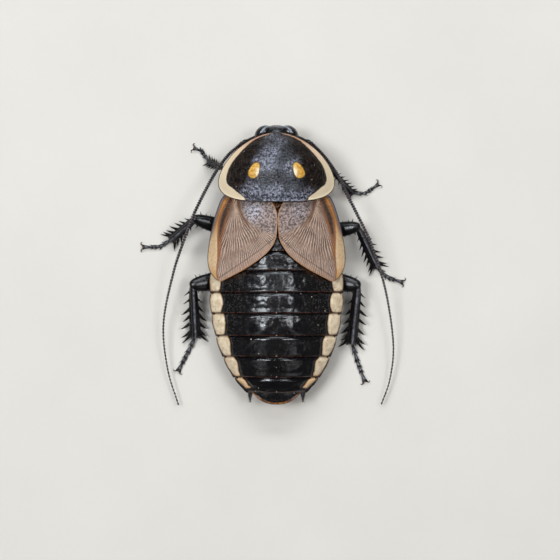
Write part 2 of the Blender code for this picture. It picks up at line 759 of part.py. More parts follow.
# Moves the whole model so that the middle of its footprint is at the origin
def centre_on_floor(collection):
    bpy.context.view_layer.update()
    graph = bpy.context.evaluated_depsgraph_get()
    corners = []
    for obj in collection.objects:
        mesh = obj.evaluated_get(graph).to_mesh()
        corners.extend(obj.matrix_world @ vert.co for vert in mesh.vertices)
    middle_x = (min(c.x for c in corners) + max(c.x for c in corners)) / 2
    middle_y = (min(c.y for c in corners) + max(c.y for c in corners)) / 2
    stance = bpy.data.objects.new("stance", None)
    bpy.context.scene.collection.objects.link(stance)
    for obj in collection.objects:
        obj.parent = stance
    stance.location = (-middle_x, -middle_y, 0)


def main():
    clear_scene()
    black = make_material("black_cuticle", (0.012, 0.011, 0.012), 0.3)
    cream = make_material("cream_cuticle", (0.62, 0.5, 0.3), 0.5)
    amber = make_material("amber_cuticle", (0.3, 0.12, 0.03), 0.4)
    brown = make_material("brown_wing", (0.13, 0.08, 0.055), 0.5)
    glassy = make_material("eye", (0.01, 0.01, 0.012), 0.08)
    insect = make_collection("glowspot_cockroach")

    build_head(black, glassy, amber, insect)
    for side_name, side in (("left", -1), ("right", 1)):
        build_antenna(side_name, side, black, insect)
        build_wing("tegmen_" + side_name, side, brown, insect)
    build_thorax(black, insect)
    disc_shell("pronotum", shield_place, 36, 6, shield_thickness, [black], insect)
    build_abdomen(black, cream, amber, insect)
    build_cerci(black, insect)
    for name, joints in leg_joints.items():
        build_leg(name, joints, limb_sizes[name.split("_")[0]], black, insect)
    centre_on_floor(insect)


main()
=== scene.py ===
import math
import random

import bpy
import numpy as np
from mathutils import Matrix, Vector, noise


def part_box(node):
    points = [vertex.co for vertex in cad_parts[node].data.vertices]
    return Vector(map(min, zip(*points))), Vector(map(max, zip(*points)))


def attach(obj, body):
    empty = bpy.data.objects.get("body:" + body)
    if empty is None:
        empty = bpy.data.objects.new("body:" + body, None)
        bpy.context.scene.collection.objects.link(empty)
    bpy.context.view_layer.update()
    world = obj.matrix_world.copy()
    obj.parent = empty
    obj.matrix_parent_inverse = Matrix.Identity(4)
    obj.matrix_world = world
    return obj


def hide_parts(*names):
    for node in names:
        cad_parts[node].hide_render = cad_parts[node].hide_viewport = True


# Glowspot cockroach: the fine pieces and the finishes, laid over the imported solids.
# Every piece is modelled in millimetres from the middle of the trunk, head to +Y, floor at 0,
# and settled in the frame at the end, so a number here is a length on the animal.

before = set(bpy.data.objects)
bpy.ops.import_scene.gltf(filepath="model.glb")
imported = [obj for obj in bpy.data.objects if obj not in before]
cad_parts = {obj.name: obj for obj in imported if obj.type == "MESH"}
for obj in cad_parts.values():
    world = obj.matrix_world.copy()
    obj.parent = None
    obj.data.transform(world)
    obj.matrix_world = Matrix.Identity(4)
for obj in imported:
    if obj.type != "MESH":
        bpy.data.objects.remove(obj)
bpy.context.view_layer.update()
mm = 0.001
print("frame loaded with", len(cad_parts), "solids")

# where the animal's own zero lies in the frame: the shield is centred, and its front this far ahead
shieldFront = 17.08
shieldLow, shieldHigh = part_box("pronotum")
zeroPlace = Vector(((shieldLow.x + shieldHigh.x) / 2, shieldHigh.y - shieldFront * mm, 0))
sides = (("left", -1), ("right", 1))


# small helpers

def clamp(value, low=0.0, high=1.0):
    return np.minimum(np.maximum(value, low), high)


def ease(value, start, end):
    share = clamp((value - start) / (end - start))
    return share * share * (3 - 2 * share)


def mix(a, b, share):
    return a + (b - a) * share


def hump(distance, reach):
    return np.exp(-(distance / reach) ** 2)


def getPoints(piece):
    places = np.zeros(len(piece.data.vertices) * 3)
    piece.data.vertices.foreach_get("co", places)
    return places.reshape(-1, 3)


def setPoints(piece, places):
    piece.data.vertices.foreach_set("co", np.ascontiguousarray(places, float).ravel())
    piece.data.update()


def ripple(places, scale, seed=0.0):
    return np.array([noise.noise(Vector(p) * scale + Vector((seed, seed, seed))) for p in places])


# lifts the places by some noises: the height, the grain and the start of each
def roughen(places, noises, calm=1.0):
    for height, grain, start in noises:
        places[:, 2] += calm * height * ripple(places, grain, start)


# a smooth line through the given points, read at even steps
def smoothLine(points, count, closed=False):
    points = np.array(points, float)
    size = len(points)
    fine = []
    for span in range(size if closed else size - 1):
        if closed:
            a, b, c, d = (points[(span + k) % size] for k in (-1, 0, 1, 2))
        else:
            b, c = points[span], points[span + 1]
            a = points[span - 1] if span > 0 else 2 * b - c
            d = points[span + 2] if span + 2 < size else 2 * c - b
        for t in np.arange(24) / 24:
            fine.append(0.5 * (2 * b + (c - a) * t + (2 * a - 5 * b + 4 * c - d) * t ** 2
                               + (3 * b - a - 3 * c + d) * t ** 3))
    fine.append(points[0] if closed else points[-1])
    fine = np.array(fine)
    reached = np.concatenate(([0], np.cumsum(np.linalg.norm(np.diff(fine, axis=0), axis=1))))
    wanted = np.linspace(0, reached[-1], count + 1 if closed else count)
    line = np.stack([np.interp(wanted, reached, fine[:, k]) for k in range(fine.shape[1])], 1)
    return line[:-1] if closed else line


# distance in the plan from each place to a line
def planDistance(places, line, closed=False):
    line = np.array(line, float)[:, :2]
    ends = np.roll(line, -1, 0) if closed else line[1:]
    starts = line if closed else line[:-1]
    best = np.full(len(places), 1e9)
    for a, b in zip(starts, ends):
        along = b - a
        share = clamp((places[:, :2] - a) @ along / max(along @ along, 1e-12))
        away = places[:, :2] - (a + share[:, None] * along)
        best = np.minimum(best, np.hypot(away[:, 0], away[:, 1]))
    return best


# the same distance to a closed outline, above zero inside it
def insideDistance(places, outline):
    outline = np.array(outline, float)
    x, y = places[:, 0], places[:, 1]
    inside = np.zeros(len(places), bool)
    for a, b in zip(outline, np.roll(outline, -1, 0)):
        if a[1] != b[1]:
            crosses = (a[1] > y) != (b[1] > y)
            inside ^= crosses & (x < (b[0] - a[0]) * (y - a[1]) / (b[1] - a[1]) + a[0])
    away = planDistance(places, outline, True)
    return np.where(inside, away, -away)


# how far each place lies to one side of a line that runs from front to rear, outwards above zero
def besideLine(places, line, count=80):
    fine = smoothLine(line, count)
    away = planDistance(places, fine)
    lineX = np.interp(-places[:, 1], -fine[:, 1], fine[:, 0])
    return np.where(places[:, 0] > lineX, away, -away)


# the same points on one side of the midline or the other
def onSide(points, side):
    return [(p[0] * side, *p[1:]) for p in points]


def storeValues(piece, **values):
    for name, amounts in values.items():
        layer = piece.data.attributes.new(name, "FLOAT", "POINT")
        layer.data.foreach_set("value", np.ascontiguousarray(amounts, np.float32))


def selectOnly(pieces):
    bpy.ops.object.select_all(action="DESELECT")
    for piece in pieces:
        piece.select_set(True)
    bpy.context.view_layer.objects.active = pieces[0]


# names the piece that an operator has just added
def nameNew(name):
    piece = bpy.context.object
    piece.name = piece.data.name = name
    return piece


def joinPieces(name, pieces):
    selectOnly(pieces)
    if len(pieces) > 1:
        bpy.ops.object.join()
    return nameNew(name)


def applyModifier(piece, kind, **settings):
    selectOnly([piece])
    bpy.ops.object.modifier_add(type=kind)
    modifier = piece.modifiers[-1]
    for key, value in settings.items():
        setattr(modifier, key, value)
    bpy.ops.object.modifier_apply(modifier=modifier.name)


def applySubdivision(piece, levels):
    applyModifier(piece, "SUBSURF", levels=levels, render_levels=levels)


# gives a sheet its wall, grown inwards from the modelled face
def thicken(piece, thickness, even=True):
    applyModifier(piece, "SOLIDIFY", thickness=thickness, offset=-1, use_even_offset=even,
                  thickness_clamp=0)


def openMesh(piece):
    selectOnly([piece])
    bpy.ops.object.mode_set(mode="EDIT")
    bpy.ops.mesh.select_all(action="SELECT")


def closeMesh():
    bpy.ops.object.mode_set(mode="OBJECT")


def faceOutwards(piece):
    openMesh(piece)
    bpy.ops.mesh.remove_doubles(threshold=0.0004)
    bpy.ops.mesh.normals_make_consistent(inside=False)
    closeMesh()


# sets a sheet's points, and turns it over if most of it looks the wrong way
def shapeSheet(piece, places, upwards=True):
    setPoints(piece, places)
    total = sum(face.normal.z * face.area for face in piece.data.polygons)
    if (total > 0) != upwards:
        openMesh(piece)
        bpy.ops.mesh.flip_normals()
        closeMesh()


def keepAbove(piece, height):
    points = getPoints(piece)
    points[:, 2] = np.maximum(points[:, 2], height)
    setPoints(piece, points)


def copyPiece(source, matrix):
    copied = source.copy()
    copied.data = source.data.copy()
    copied.data.transform(matrix)
    bpy.context.scene.collection.objects.link(copied)
    return copied


def removePieces(*pieces):
    for piece in pieces:
        bpy.data.objects.remove(piece, do_unlink=True)


# a matrix that lays a shape grown up Z along a direction, its Y towards up
def layAlong(start, direction, up=(0, 0, 1), size=(1, 1, 1)):
    along = Vector(direction).normalized()
    rise = Vector(up)
    rise = (rise - along * rise.dot(along)).normalized()
    across = rise.cross(along)
    turn = Matrix((across, rise, along)).transposed().to_4x4()
    return Matrix.Translation(start) @ turn @ Matrix.Diagonal((*size, 1))


# a copy of such a shape, stretched from one place to another and a little beyond
def copyBetween(source, start, end, wide, deep, overlap):
    size = (wide, deep, (end - start).length * overlap)
    return copyPiece(source, layAlong(start, end - start, size=size))


# the way out from a line, at an angle round it
def wayRound(direction, angle):
    return layAlong((0, 0, 0), direction).to_3x3() @ Vector((math.cos(angle), math.sin(angle), 0))


# grows a shape up Z from a flat ring: stations give height, half width, half depth and lean
def growShape(name, stations, corners, levels=0, leanX=False):
    def placeOf(height, lean):
        return (lean, 0, height) if leanX else (0, lean, height)

    height, wide, deep, lean = stations[0]
    middle = placeOf(height, lean)
    bpy.ops.object.select_all(action="DESELECT")
    bpy.ops.mesh.primitive_circle_add(vertices=corners, radius=1, fill_type="NGON", location=middle)
    bpy.ops.object.transform_apply(location=True, rotation=True, scale=True)
    piece = nameNew(name)
    openMesh(piece)
    bpy.ops.transform.resize(value=(wide, deep, 1), center_override=middle)
    for height, nextWide, nextDeep, lean in stations[1:]:
        nextMiddle = placeOf(height, lean)
        step = tuple(b - a for a, b in zip(middle, nextMiddle))
        bpy.ops.mesh.extrude_region_move(TRANSFORM_OT_translate={"value": step})
        bpy.ops.transform.resize(value=(nextWide / wide, nextDeep / deep, 1), center_override=nextMiddle)
        middle, wide, deep = nextMiddle, nextWide, nextDeep
    bpy.ops.mesh.select_all(action="SELECT")
    bpy.ops.mesh.normals_make_consistent(inside=False)
    closeMesh()
    if levels:
        applySubdivision(piece, levels)
    return piece


# a tube along a line, drawn as a curve with one radius a point and made a mesh
def drawTube(name, line, radii, roundness=2):
    curve = bpy.data.curves.new(name, "CURVE")
    curve.dimensions = "3D"
    curve.bevel_depth = 1.0
    curve.bevel_resolution = roundness
    curve.use_fill_caps = True
    spline = curve.splines.new("POLY")
    spline.points.add(len(line) - 1)
    for target, place, radius in zip(spline.points, line, radii):
        target.co = (*place, 1)
        target.radius = radius
    holder = bpy.data.objects.new(name, curve)
    bpy.context.scene.collection.objects.link(holder)
    selectOnly([holder])
    bpy.ops.object.convert(target="MESH")
    piece = bpy.context.object
    piece.data.materials.clear()
    faceOutwards(piece)
    return piece


def addBall(name, centre=(0, 0, 0), radii=(1, 1, 1), tilt=0.0, segments=24, rings=16):
    bpy.ops.object.select_all(action="DESELECT")
    bpy.ops.mesh.primitive_uv_sphere_add(segments=segments, ring_count=rings, radius=1,
                                         location=centre, rotation=(tilt, 0, 0), scale=radii)
    bpy.ops.object.transform_apply(location=True, rotation=True, scale=True)
    return nameNew(name)


# a disc of rings and spokes, made of half a ball; gives each point's spoke and share of the radius
def addDisc(name, spokes, rings):
    bpy.ops.object.select_all(action="DESELECT")
    bpy.ops.mesh.primitive_uv_sphere_add(segments=spokes, ring_count=rings * 2, radius=1)
    disc = nameNew(name)
    openMesh(disc)
    bpy.ops.mesh.bisect(plane_co=(0, 0, -0.0005), plane_no=(0, 0, 1), clear_inner=True)
    bpy.ops.mesh.select_all(action="DESELECT")
    closeMesh()
    # the cut leaves a thin skirt below the ball's middle
    disc.data.vertices.foreach_set("select", getPoints(disc)[:, 2] < -0.0001)
    bpy.ops.object.mode_set(mode="EDIT")
    bpy.ops.mesh.delete(type="VERT")
    closeMesh()
    places = getPoints(disc)
    turn = np.arctan2(places[:, 1], places[:, 0]) / math.tau % 1
    share = np.arccos(clamp(places[:, 2])) / (math.pi / 2)
    return disc, turn, share


def addGrid(name, columns, rows):
    bpy.ops.object.select_all(action="DESELECT")
    bpy.ops.mesh.primitive_grid_add(x_subdivisions=columns, y_subdivisions=rows, size=2)
    grid = nameNew(name)
    places = getPoints(grid)
    return grid, places[:, 0], places[:, 1]


# a plate's grid, with each point's way behind the plate's front; it starts a lap ahead of that
def addPlate(name, columns, rows, lap, front, rear):
    piece, u, v = addGrid(name, columns, rows)
    s = mix(-lap, front - rear, (1 - v) / 2)
    return piece, u, s, front - s, front - rear


# brings a modelled piece into the frame, dresses it, hangs it on the root and hides the solids it stands for
def settle(piece, material, slotName, *nodes, angle=60):
    selectOnly([piece])
    bpy.ops.object.transform_apply(location=True, rotation=True, scale=True)
    piece.data.transform(Matrix.Translation(zeroPlace) @ Matrix.Scale(mm, 4))
    piece.data.materials.append(material)
    bpy.ops.object.shade_smooth_by_angle(angle=math.radians(angle))
    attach(piece, "root")
    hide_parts(*nodes)


# finishes, each beside its tones in plain red, green and blue

def tone(red, green, blue):
    values = []
    for part in (red, green, blue):
        part /= 255
        values.append(part / 12.92 if part <= 0.04045 else ((part + 0.055) / 1.055) ** 2.4)
    return (*values, 1)


# a few short ways to lay down shader nodes; a tone is called by its name
class Finish:
    def __init__(self, name, tones, roughness=0.4, coat=0.0, coatRoughness=0.1, specular=0.5):
        self.tones = tones
        self.material = bpy.data.materials.new(name)
        self.material.use_nodes = True
        self.tree = self.material.node_tree
        self.shader = self.tree.nodes["Principled BSDF"]
        self.shader.inputs["Roughness"].default_value = roughness
        self.shader.inputs["Coat Weight"].default_value = coat
        self.shader.inputs["Coat Roughness"].default_value = coatRoughness
        self.shader.inputs["Specular IOR Level"].default_value = specular
        coordinates = self.tree.nodes.new("ShaderNodeTexCoord")
        mapping = self.tree.nodes.new("ShaderNodeMapping")
        mapping.inputs["Scale"].default_value = (1 / mm,) * 3
        mapping.inputs["Location"].default_value = (-zeroPlace.x / mm, -zeroPlace.y / mm, 0)
        self.tree.links.new(coordinates.outputs["Object"], mapping.inputs["Vector"])
        self.places = mapping.outputs["Vector"]

    def add(self, kind, **settings):
        node = self.tree.nodes.new("ShaderNode" + kind)
        for key, value in settings.items():
            setattr(node, key, value)
        return node

    def feed(self, socket, value):
        if isinstance(value, bpy.types.NodeSocket):
            self.tree.links.new(value, socket)
        else:
            socket.default_value = tone(*self.tones[value]) if isinstance(value, str) else value

    def noise(self, scale, detail=3.0, rough=0.55):
        node = self.add("TexNoise")
        self.feed(node.inputs["Vector"], self.places)
        node.inputs["Scale"].default_value = scale
        node.inputs["Detail"].default_value = detail
        node.inputs["Roughness"].default_value = rough
        return node.outputs["Fac"]

    def cells(self, scale, output="Distance"):
        node = self.add("TexVoronoi")
        self.feed(node.inputs["Vector"], self.places)
        node.inputs["Scale"].default_value = scale
        return node.outputs[output]

    def value(self, name):
        return self.add("Attribute", attribute_name=name).outputs["Fac"]

    def axis(self, name):
        node = self.add("SeparateXYZ")
        self.feed(node.inputs["Vector"], self.places)
        return node.outputs[name]

    def math(self, operation, *values):
        node = self.add("Math", operation=operation)
        for socket, value in zip(node.inputs, values):
            self.feed(socket, value)
        return node.outputs["Value"]

    def times(self, *values):
        return self.math("MULTIPLY", *values)

    def plus(self, *values):
        return self.math("ADD", *values)

    def most(self, *values):
        return self.math("MAXIMUM", *values)

    def absolute(self, value):
        return self.math("ABSOLUTE", value)

    # low to high as a value goes from start to end
    def rise(self, value, start, end, low=0.0, high=1.0):
        node = self.add("MapRange", interpolation_type="SMOOTHSTEP")
        for name, number in (("From Min", start), ("From Max", end), ("To Min", low), ("To Max", high)):
            node.inputs[name].default_value = number
        self.feed(node.inputs["Value"], value)
        return node.outputs["Result"]

    # small dots, in the cells whose own shade is above a limit
    def specks(self, scale, size, limit):
        near = self.rise(self.cells(scale), size, size * 0.5)
        return self.times(near, self.rise(self.cells(scale, "Color"), limit, limit + 0.04))

    # noise spread evenly round zero
    def sway(self, scale, reach, detail=3.0):
        return self.math("MULTIPLY_ADD", self.noise(scale, detail), reach, -reach / 2)

    def blend(self, share, a, b):
        node = self.add("Mix", data_type="RGBA")
        self.feed(node.inputs["Factor"], share)
        self.feed(node.inputs[6], a)
        self.feed(node.inputs[7], b)
        return node.outputs[2]

    # two tones that a noise parts, where it goes from start to end
    def mottle(self, noise, start, end, a, b):
        return self.blend(self.rise(self.noise(*noise), start, end), a, b)

    # tones laid over a colour one after another, each with its share
    def coats(self, colour, *layers):
        for share, over in layers:
            colour = self.blend(share, colour, over)
        return colour

    # a roughness that wavers from low to high
    def uneven(self, scale, detail, low, high):
        return self.rise(self.noise(scale, detail), 0.3, 0.7, low, high)

    def bump(self, height, depth, strength=1.0, under=None):
        node = self.add("Bump")
        node.inputs["Strength"].default_value = strength
        node.inputs["Distance"].default_value = depth * mm
        self.feed(node.inputs["Height"], height)
        if under is not None:
            self.feed(node.inputs["Normal"], under)
        return node.outputs["Normal"]

    def dress(self, colour, roughness, normal):
        for name, value in (("Base Color", colour), ("Roughness", roughness), ("Normal", normal)):
            if value is not None:
                self.feed(self.shader.inputs[name], value)
        return self.material


shieldTones = {
    "flankDark": (9, 6, 5), "flankPale": (44, 31, 24), "middleDark": (12, 12, 15),
    "middlePale": (60, 61, 69), "bloom": (144, 145, 159), "dustAndGlints": (170, 166, 162),
    "creamFront": (212, 184, 154), "creamSide": (226, 206, 174), "creamFleck": (132, 94, 64),
    "creamBrow": (180, 142, 116), "creamEdge": (70, 48, 34), "goldDark": (184, 130, 46),
    "goldPale": (222, 174, 82), "goldPatch": (238, 222, 186), "goldFleck": (124, 82, 32),
    "goldEdge": (88, 62, 28), "rim": (44, 32, 26),
}


def makeShieldFinish():
    f = Finish("granularShield", shieldTones, specular=0.35)
    side = f.absolute(f.axis("X"))
    along = f.axis("Y")
    grain = f.noise(3.4, 4, 0.75)
    flank = f.mottle((1.7, 5, 0.75), 0.42, 0.66, "flankDark", "flankPale")
    middle = f.blend(f.rise(grain, 0.4, 0.64), "middleDark", "middlePale")
    # the dull flanks close in on the midline in front
    aside = f.plus(side, f.rise(along, 11.6, 16.2, 0.0, 1.9))
    black = f.blend(f.rise(f.plus(aside, f.sway(0.8, 1.6)), 2.2, 4.2), middle, flank)
    # a painted grey-blue sheen that stands in for the light's reflection, broken into grains
    bloom = f.times(f.value("bloom"), f.rise(f.noise(3.0, 5, 0.8), 0.45, 0.58))
    # the pale border is a thin line in front and fades out at the midline
    edge = f.plus(f.value("band"), f.sway(2.5, 0.14, 4))
    reach = f.most(f.rise(side, 0.4, 1.3), f.rise(along, 16.3, 15.6))
    cream = f.coats(f.blend(f.rise(along, 15.2, 11.5), "creamFront", "creamSide"),
                    (f.specks(3.4, 0.14, 0.64), "creamFleck"), (f.rise(along, 14.6, 16.2), "creamBrow"))
    # the glow spots, each with a paler patch and a dark line round it
    spot = f.plus(f.value("spot"), f.sway(3.0, 0.08))
    patch = f.plus(f.value("spotPatch"), f.sway(2.8, 0.5, 4))
    gold = f.coats(f.mottle((3.2, 3), 0.35, 0.65, "goldDark", "goldPale"),
                   (f.rise(patch, 0.3, 0.9, 0, 0.9), "goldPatch"), (f.specks(4.4, 0.3, 0.5), "goldFleck"))
    # the pale specks are partly debris and partly painted glints
    colour = f.coats(black, (bloom, "bloom"), (f.specks(2.2, 0.2, 0.84), "dustAndGlints"),
                     (f.times(f.rise(edge, -0.09, -0.01), reach), "creamEdge"),
                     (f.times(f.rise(edge, -0.02, 0.08), reach), cream),
                     (f.rise(spot, -0.1, -0.02), "goldEdge"), (f.rise(spot, -0.01, 0.06), gold),
                     (f.rise(f.value("rimGap"), 0.12, 0.06), "rim"))
    # the pale parts are smoother to the touch and duller than the grains
    pale = f.most(f.rise(edge, -0.02, 0.06), f.rise(spot, -0.02, 0.05))
    rough = f.most(f.math("MULTIPLY_ADD", grain, 0.26, 0.16), f.times(pale, 0.42))
    calm = f.rise(pale, 0, 1, 1.0, 0.2)
    bumps = f.bump(f.times(f.cells(3.6), calm), 0.07, 0.9)
    bumps = f.bump(f.times(f.noise(6.5, 4, 0.75), calm), 0.03, 0.9, bumps)
    f.feed(f.shader.inputs["Specular IOR Level"], f.rise(aside, 2.4, 4.6, 0.4, 0.16))
    return f.dress(colour, rough, bumps)


ringTones = {
    "dark": (7, 6, 7), "pale": (16, 14, 16), "flank": (78, 72, 66), "rearEdge": (70, 36, 22),
    "underWing": (96, 64, 38), "dustAndGlints": (196, 182, 164), "gritAndGlints": (84, 80, 78),
    "midlinePoint": (168, 142, 126), "creamDark": (204, 180, 148), "creamPale": (228, 210, 180),
    "creamLast": (220, 188, 142), "creamFleck": (112, 82, 54), "margin": (172, 136, 96),
    "marginLast": (178, 104, 46), "lobeEdge": (66, 42, 26),
}


def makeRingFinish():
    f = Finish("ringedCuticle", ringTones, specular=0.5)
    side = f.absolute(f.axis("X"))
    along = f.axis("Y")
    rearGap = f.value("rearGap")
    flank = f.times(f.rise(side, 3.0, 5.4), f.rise(f.noise(3.2, 4, 0.75), 0.48, 0.68))
    flank = f.times(flank, f.rise(along, -11.0, -5.0, 0.25, 0.6))
    brownEdge = f.times(f.rise(rearGap, 0.16, 0.05), f.rise(f.noise(1.6), 0.4, 0.6, 0.15, 0.9))
    shade = f.times(f.value("wingShade"), f.rise(f.noise(2.0, 4), 0.36, 0.7))
    # a small pale point on the midline of each rear edge
    point = f.times(f.rise(side, 0.1, 0.04), f.rise(rearGap, 0.22, 0.13))
    # the side lobes are cream, and turn orange on the last ring
    last = (-13.9, -14.7)
    lobe = f.plus(f.value("lobe"), f.sway(1.9, 0.22, 4))
    margin = f.blend(f.rise(along, *last), "margin", "marginLast")
    thin = f.times(lobe, f.rise(along, *last, 1.0, 1.15))
    cream = f.coats(f.mottle((1.5, 4), 0.35, 0.65, "creamDark", "creamPale"),
                    (f.rise(along, *last), "creamLast"), (f.specks(2.8, 0.24, 0.5), "creamFleck"),
                    (f.rise(thin, 0.22, 0.03, 0, 0.7), margin))
    # the pale and grey specks are partly debris and partly painted glints
    colour = f.coats(f.blend(f.noise(1.1, 4, 0.6), "dark", "pale"), (flank, "flank"),
                     (brownEdge, "rearEdge"), (shade, "underWing"), (f.specks(2.2, 0.22, 0.86), "dustAndGlints"),
                     (f.specks(3.6, 0.2, 0.62), "gritAndGlints"), (f.times(point, 0.7), "midlinePoint"),
                     (f.rise(lobe, -0.13, -0.03), "lobeEdge"), (f.rise(lobe, -0.03, 0.06), cream))
    # the black is glossy, most of all in a line behind each seam of the rear rings
    rough = f.math("MULTIPLY_ADD", f.noise(2.4, 5, 0.65), 0.22, 0.09)
    rough = f.plus(rough, f.rise(side, 3.0, 5.5, 0.0, 0.03))
    seam = f.times(f.rise(f.value("frontGap"), 0.75, 0.45), f.rise(along, -6.0, -9.5))
    rough = f.times(rough, f.math("SUBTRACT", 1.0, f.times(seam, 0.45)))
    rough = f.most(rough, f.times(f.rise(lobe, -0.05, 0.05), 0.42))
    bumps = f.bump(f.noise(1.6, 4, 0.6), 0.05, 0.7)
    bumps = f.bump(f.noise(6, 4, 0.75), 0.012, 0.8, bumps)
    return f.dress(colour, rough, bumps)


wingTones = {
    "brownDark": (134, 104, 86), "brownPale": (172, 142, 122), "brownRear": (182, 152, 134),
    "amber": (160, 98, 48), "peach": (228, 186, 152), "trough": (66, 47, 36), "crest": (226, 202, 186),
    "greyDark": (44, 33, 30), "greyPale": (174, 152, 144), "knollGlint": (204, 205, 220),
    "furrow": (112, 68, 36), "behindGroove": (166, 132, 108), "groove": (84, 58, 44),
    "grain": (74, 56, 48), "dots": (52, 40, 35), "streakDark": (34, 27, 22), "streakPale": (104, 90, 84),
    "bandShoulder": (204, 138, 62), "bandSide": (222, 188, 146), "bandRear": (204, 154, 100),
    "bandFleck": (176, 132, 86), "bandFlank": (136, 86, 42), "bandEdge": (142, 88, 44),
    "borderStrip": (112, 105, 116), "outerRim": (38, 26, 24), "innerRim": (176, 124, 82),
}


def makeWingFinish():
    f = Finish("wingLeather", wingTones, specular=0.4)
    ways = f.add("UVMap", uv_map="WingFan")
    split = f.add("SeparateXYZ")
    f.feed(split.inputs["Vector"], ways.outputs["UV"])
    phase = f.plus(split.outputs["X"], f.plus(f.sway(1.5, 0.14), f.sway(4.5, 0.09)))
    # the veins part in two on their way to the rim, twice over, so that their spacing stays even
    wave = f.math("COSINE", f.times(phase, math.tau))
    for times, start in ((2, 0.28), (4, 0.6)):
        finer = f.math("COSINE", f.times(phase, math.tau * times))
        parted = f.rise(split.outputs["Y"], start, start + 0.16)
        wave = f.math("MULTIPLY_ADD", parted, f.math("SUBTRACT", finer, wave), wave)
    along = f.axis("Y")
    names = ("costa", "clavus", "groove", "border", "streak", "amber", "peach", "knoll")
    costa, clavus, groove, border, streak, amber, peach, knoll = (f.value(name) for name in names)
    grain = f.noise(4.5, 4, 0.75)
    brown = f.mottle((0.9, 4, 0.6), 0.35, 0.65, "brownDark", "brownPale")
    # veins: a pale crest and a dark trough each, stronger here and weaker there
    clear = f.rise(clavus, 0.7, -0.2, 0.15, 1.0)
    clear = f.times(clear, f.rise(f.noise(3.8, 5, 0.8), 0.38, 0.58, 0.2, 1.1))
    clear = f.times(clear, f.rise(groove, 0.0, 0.15, 1.0, 0.75))
    trough = f.times(f.rise(wave, 0.05, -0.9, 0, 0.75), clear)
    crest = f.times(f.rise(wave, 0.3, 0.95, 0, 0.72), f.times(clear, f.rise(amber, 0, 1, 1, 0.4)))
    # inside the claval furrow the surface is grainy and greyer, with a painted blue-white highlight on its
    # knoll
    grey = f.mottle((3.6, 5, 0.85), 0.44, 0.58, "greyDark", "greyPale")
    knollGlint = f.times(knoll, f.rise(f.noise(3.6, 5, 0.8), 0.42, 0.57))
    # the painted highlight is stronger on the left wing, the side the light comes from
    knollGlint = f.times(knollGlint, f.rise(f.axis("X"), -0.5, 0.5, 0.9, 0.35))
    furrow = f.times(f.rise(f.absolute(clavus), 0.3, 0.04), f.rise(along, 4.2, 6.0))
    # dark dots gather round the furrow
    dots = f.times(f.specks(3.2, 0.36, 0.45), f.rise(f.absolute(clavus), 1.9, 0.3, 0, 0.6))
    dark = f.mottle((3.4, 4, 0.7), 0.42, 0.66, "streakDark", "streakPale")
    # costal band: orange between two brown lines at the shoulder, cream down its side
    edge = f.plus(costa, f.sway(2.2, 0.14))
    flank = f.rise(f.math("MINIMUM", edge, f.math("SUBTRACT", border, 0.34)), 0.3, 0.04)
    flank = f.times(flank, f.rise(along, 3.2, 5.6))
    band = f.coats(f.blend(f.rise(along, 6.4, 2.8), "bandShoulder", "bandSide"),
                   (f.rise(along, 0.4, -1.6), "bandRear"),
                   (f.rise(f.noise(4, 4), 0.46, 0.68, 0, 0.5), "bandFleck"),
                   (f.times(flank, 0.8), "bandFlank"))
    # the rim: a grey strip and a black line outside, an orange line inside
    outer = f.rise(costa, -0.1, 0.1)
    strip = f.times(f.rise(border, 0.32, 0.22), f.times(outer, f.rise(along, 2.6, 4.8)))
    inner = f.times(f.rise(border, 0.17, 0.06), f.rise(costa, 0.1, -0.1))
    colour = f.coats(brown, (f.rise(along, 3.0, -1.5, 0, 0.4), "brownRear"), (f.times(amber, 0.9), "amber"),
                     (f.times(peach, 0.9), "peach"), (trough, "trough"), (crest, "crest"),
                     (f.times(f.rise(clavus, 0.0, 0.6), 0.85), grey), (knollGlint, "knollGlint"),
                     (f.times(furrow, 0.75), "furrow"), (f.rise(groove, 0.02, 0.12, 0, 0.3), "behindGroove"),
                     (f.rise(f.absolute(groove), 0.1, 0.02, 0, 0.7), "groove"),
                     (f.rise(grain, 0.54, 0.74, 0, 0.5), "grain"), (dots, "dots"),
                     (f.times(streak, 0.88), dark), (f.rise(edge, -0.22, -0.02, 0, 0.85), "bandEdge"),
                     (f.rise(edge, 0.0, 0.16), band), (strip, "borderStrip"),
                     (f.times(f.rise(border, 0.13, 0.05), outer), "outerRim"),
                     (f.times(inner, 0.85), "innerRim"))
    rough = f.math("MULTIPLY_ADD", grain, 0.34, 0.22)
    bumps = f.bump(f.times(wave, clear), 0.035, 0.8)
    bumps = f.bump(grain, 0.09, 0.9, bumps)
    return f.dress(colour, rough, bumps)


# plain black parts: dark and pale tone, least roughness and how much it varies, gloss
blackParts = {
    "blackCuticle": ((10, 9, 11), (24, 22, 24), 0.14, 0.3, 0.5),
    "legCuticle": ((7, 6, 6), (16, 12, 12), 0.1, 0.22, 0.42),
    "bellyCuticle": ((24, 16, 12), (60, 38, 26), 0.25, 0.25, 0.5),
    "softMembrane": ((16, 12, 10), (38, 28, 22), 0.45, 0.25, 0.5),
}


def makeBlackFinish(name):
    dark, pale, least, spread, gloss = blackParts[name]
    f = Finish(name, {"dark": dark, "pale": pale, "sheen": (134, 134, 142)}, specular=gloss)
    colour = f.blend(f.noise(1.8, 4, 0.6), "dark", "pale")
    # some pieces get a painted grey-blue sheen, a highlight laid into the colour
    sheen = f.times(f.value("sheen"), f.rise(f.noise(2.6, 4, 0.7), 0.4, 0.62, 0.25, 1.0))
    colour = f.blend(sheen, colour, "sheen")
    rough = f.math("MULTIPLY_ADD", f.noise(4, 4, 0.6), spread, least)
    bumps = f.bump(f.noise(3.2, 4, 0.6), 0.03, 0.5)
    bumps = f.bump(f.noise(15, 4, 0.7), 0.015, 0.7, bumps)
    return f.dress(colour, rough, bumps)


# the feelers' beads are black with a pale purplish grey waist, partly the joint's own tone and partly a
# painted glint
feelerTones = {"dark": (20, 15, 17), "pale": (42, 31, 34), "waist": (104, 88, 92)}


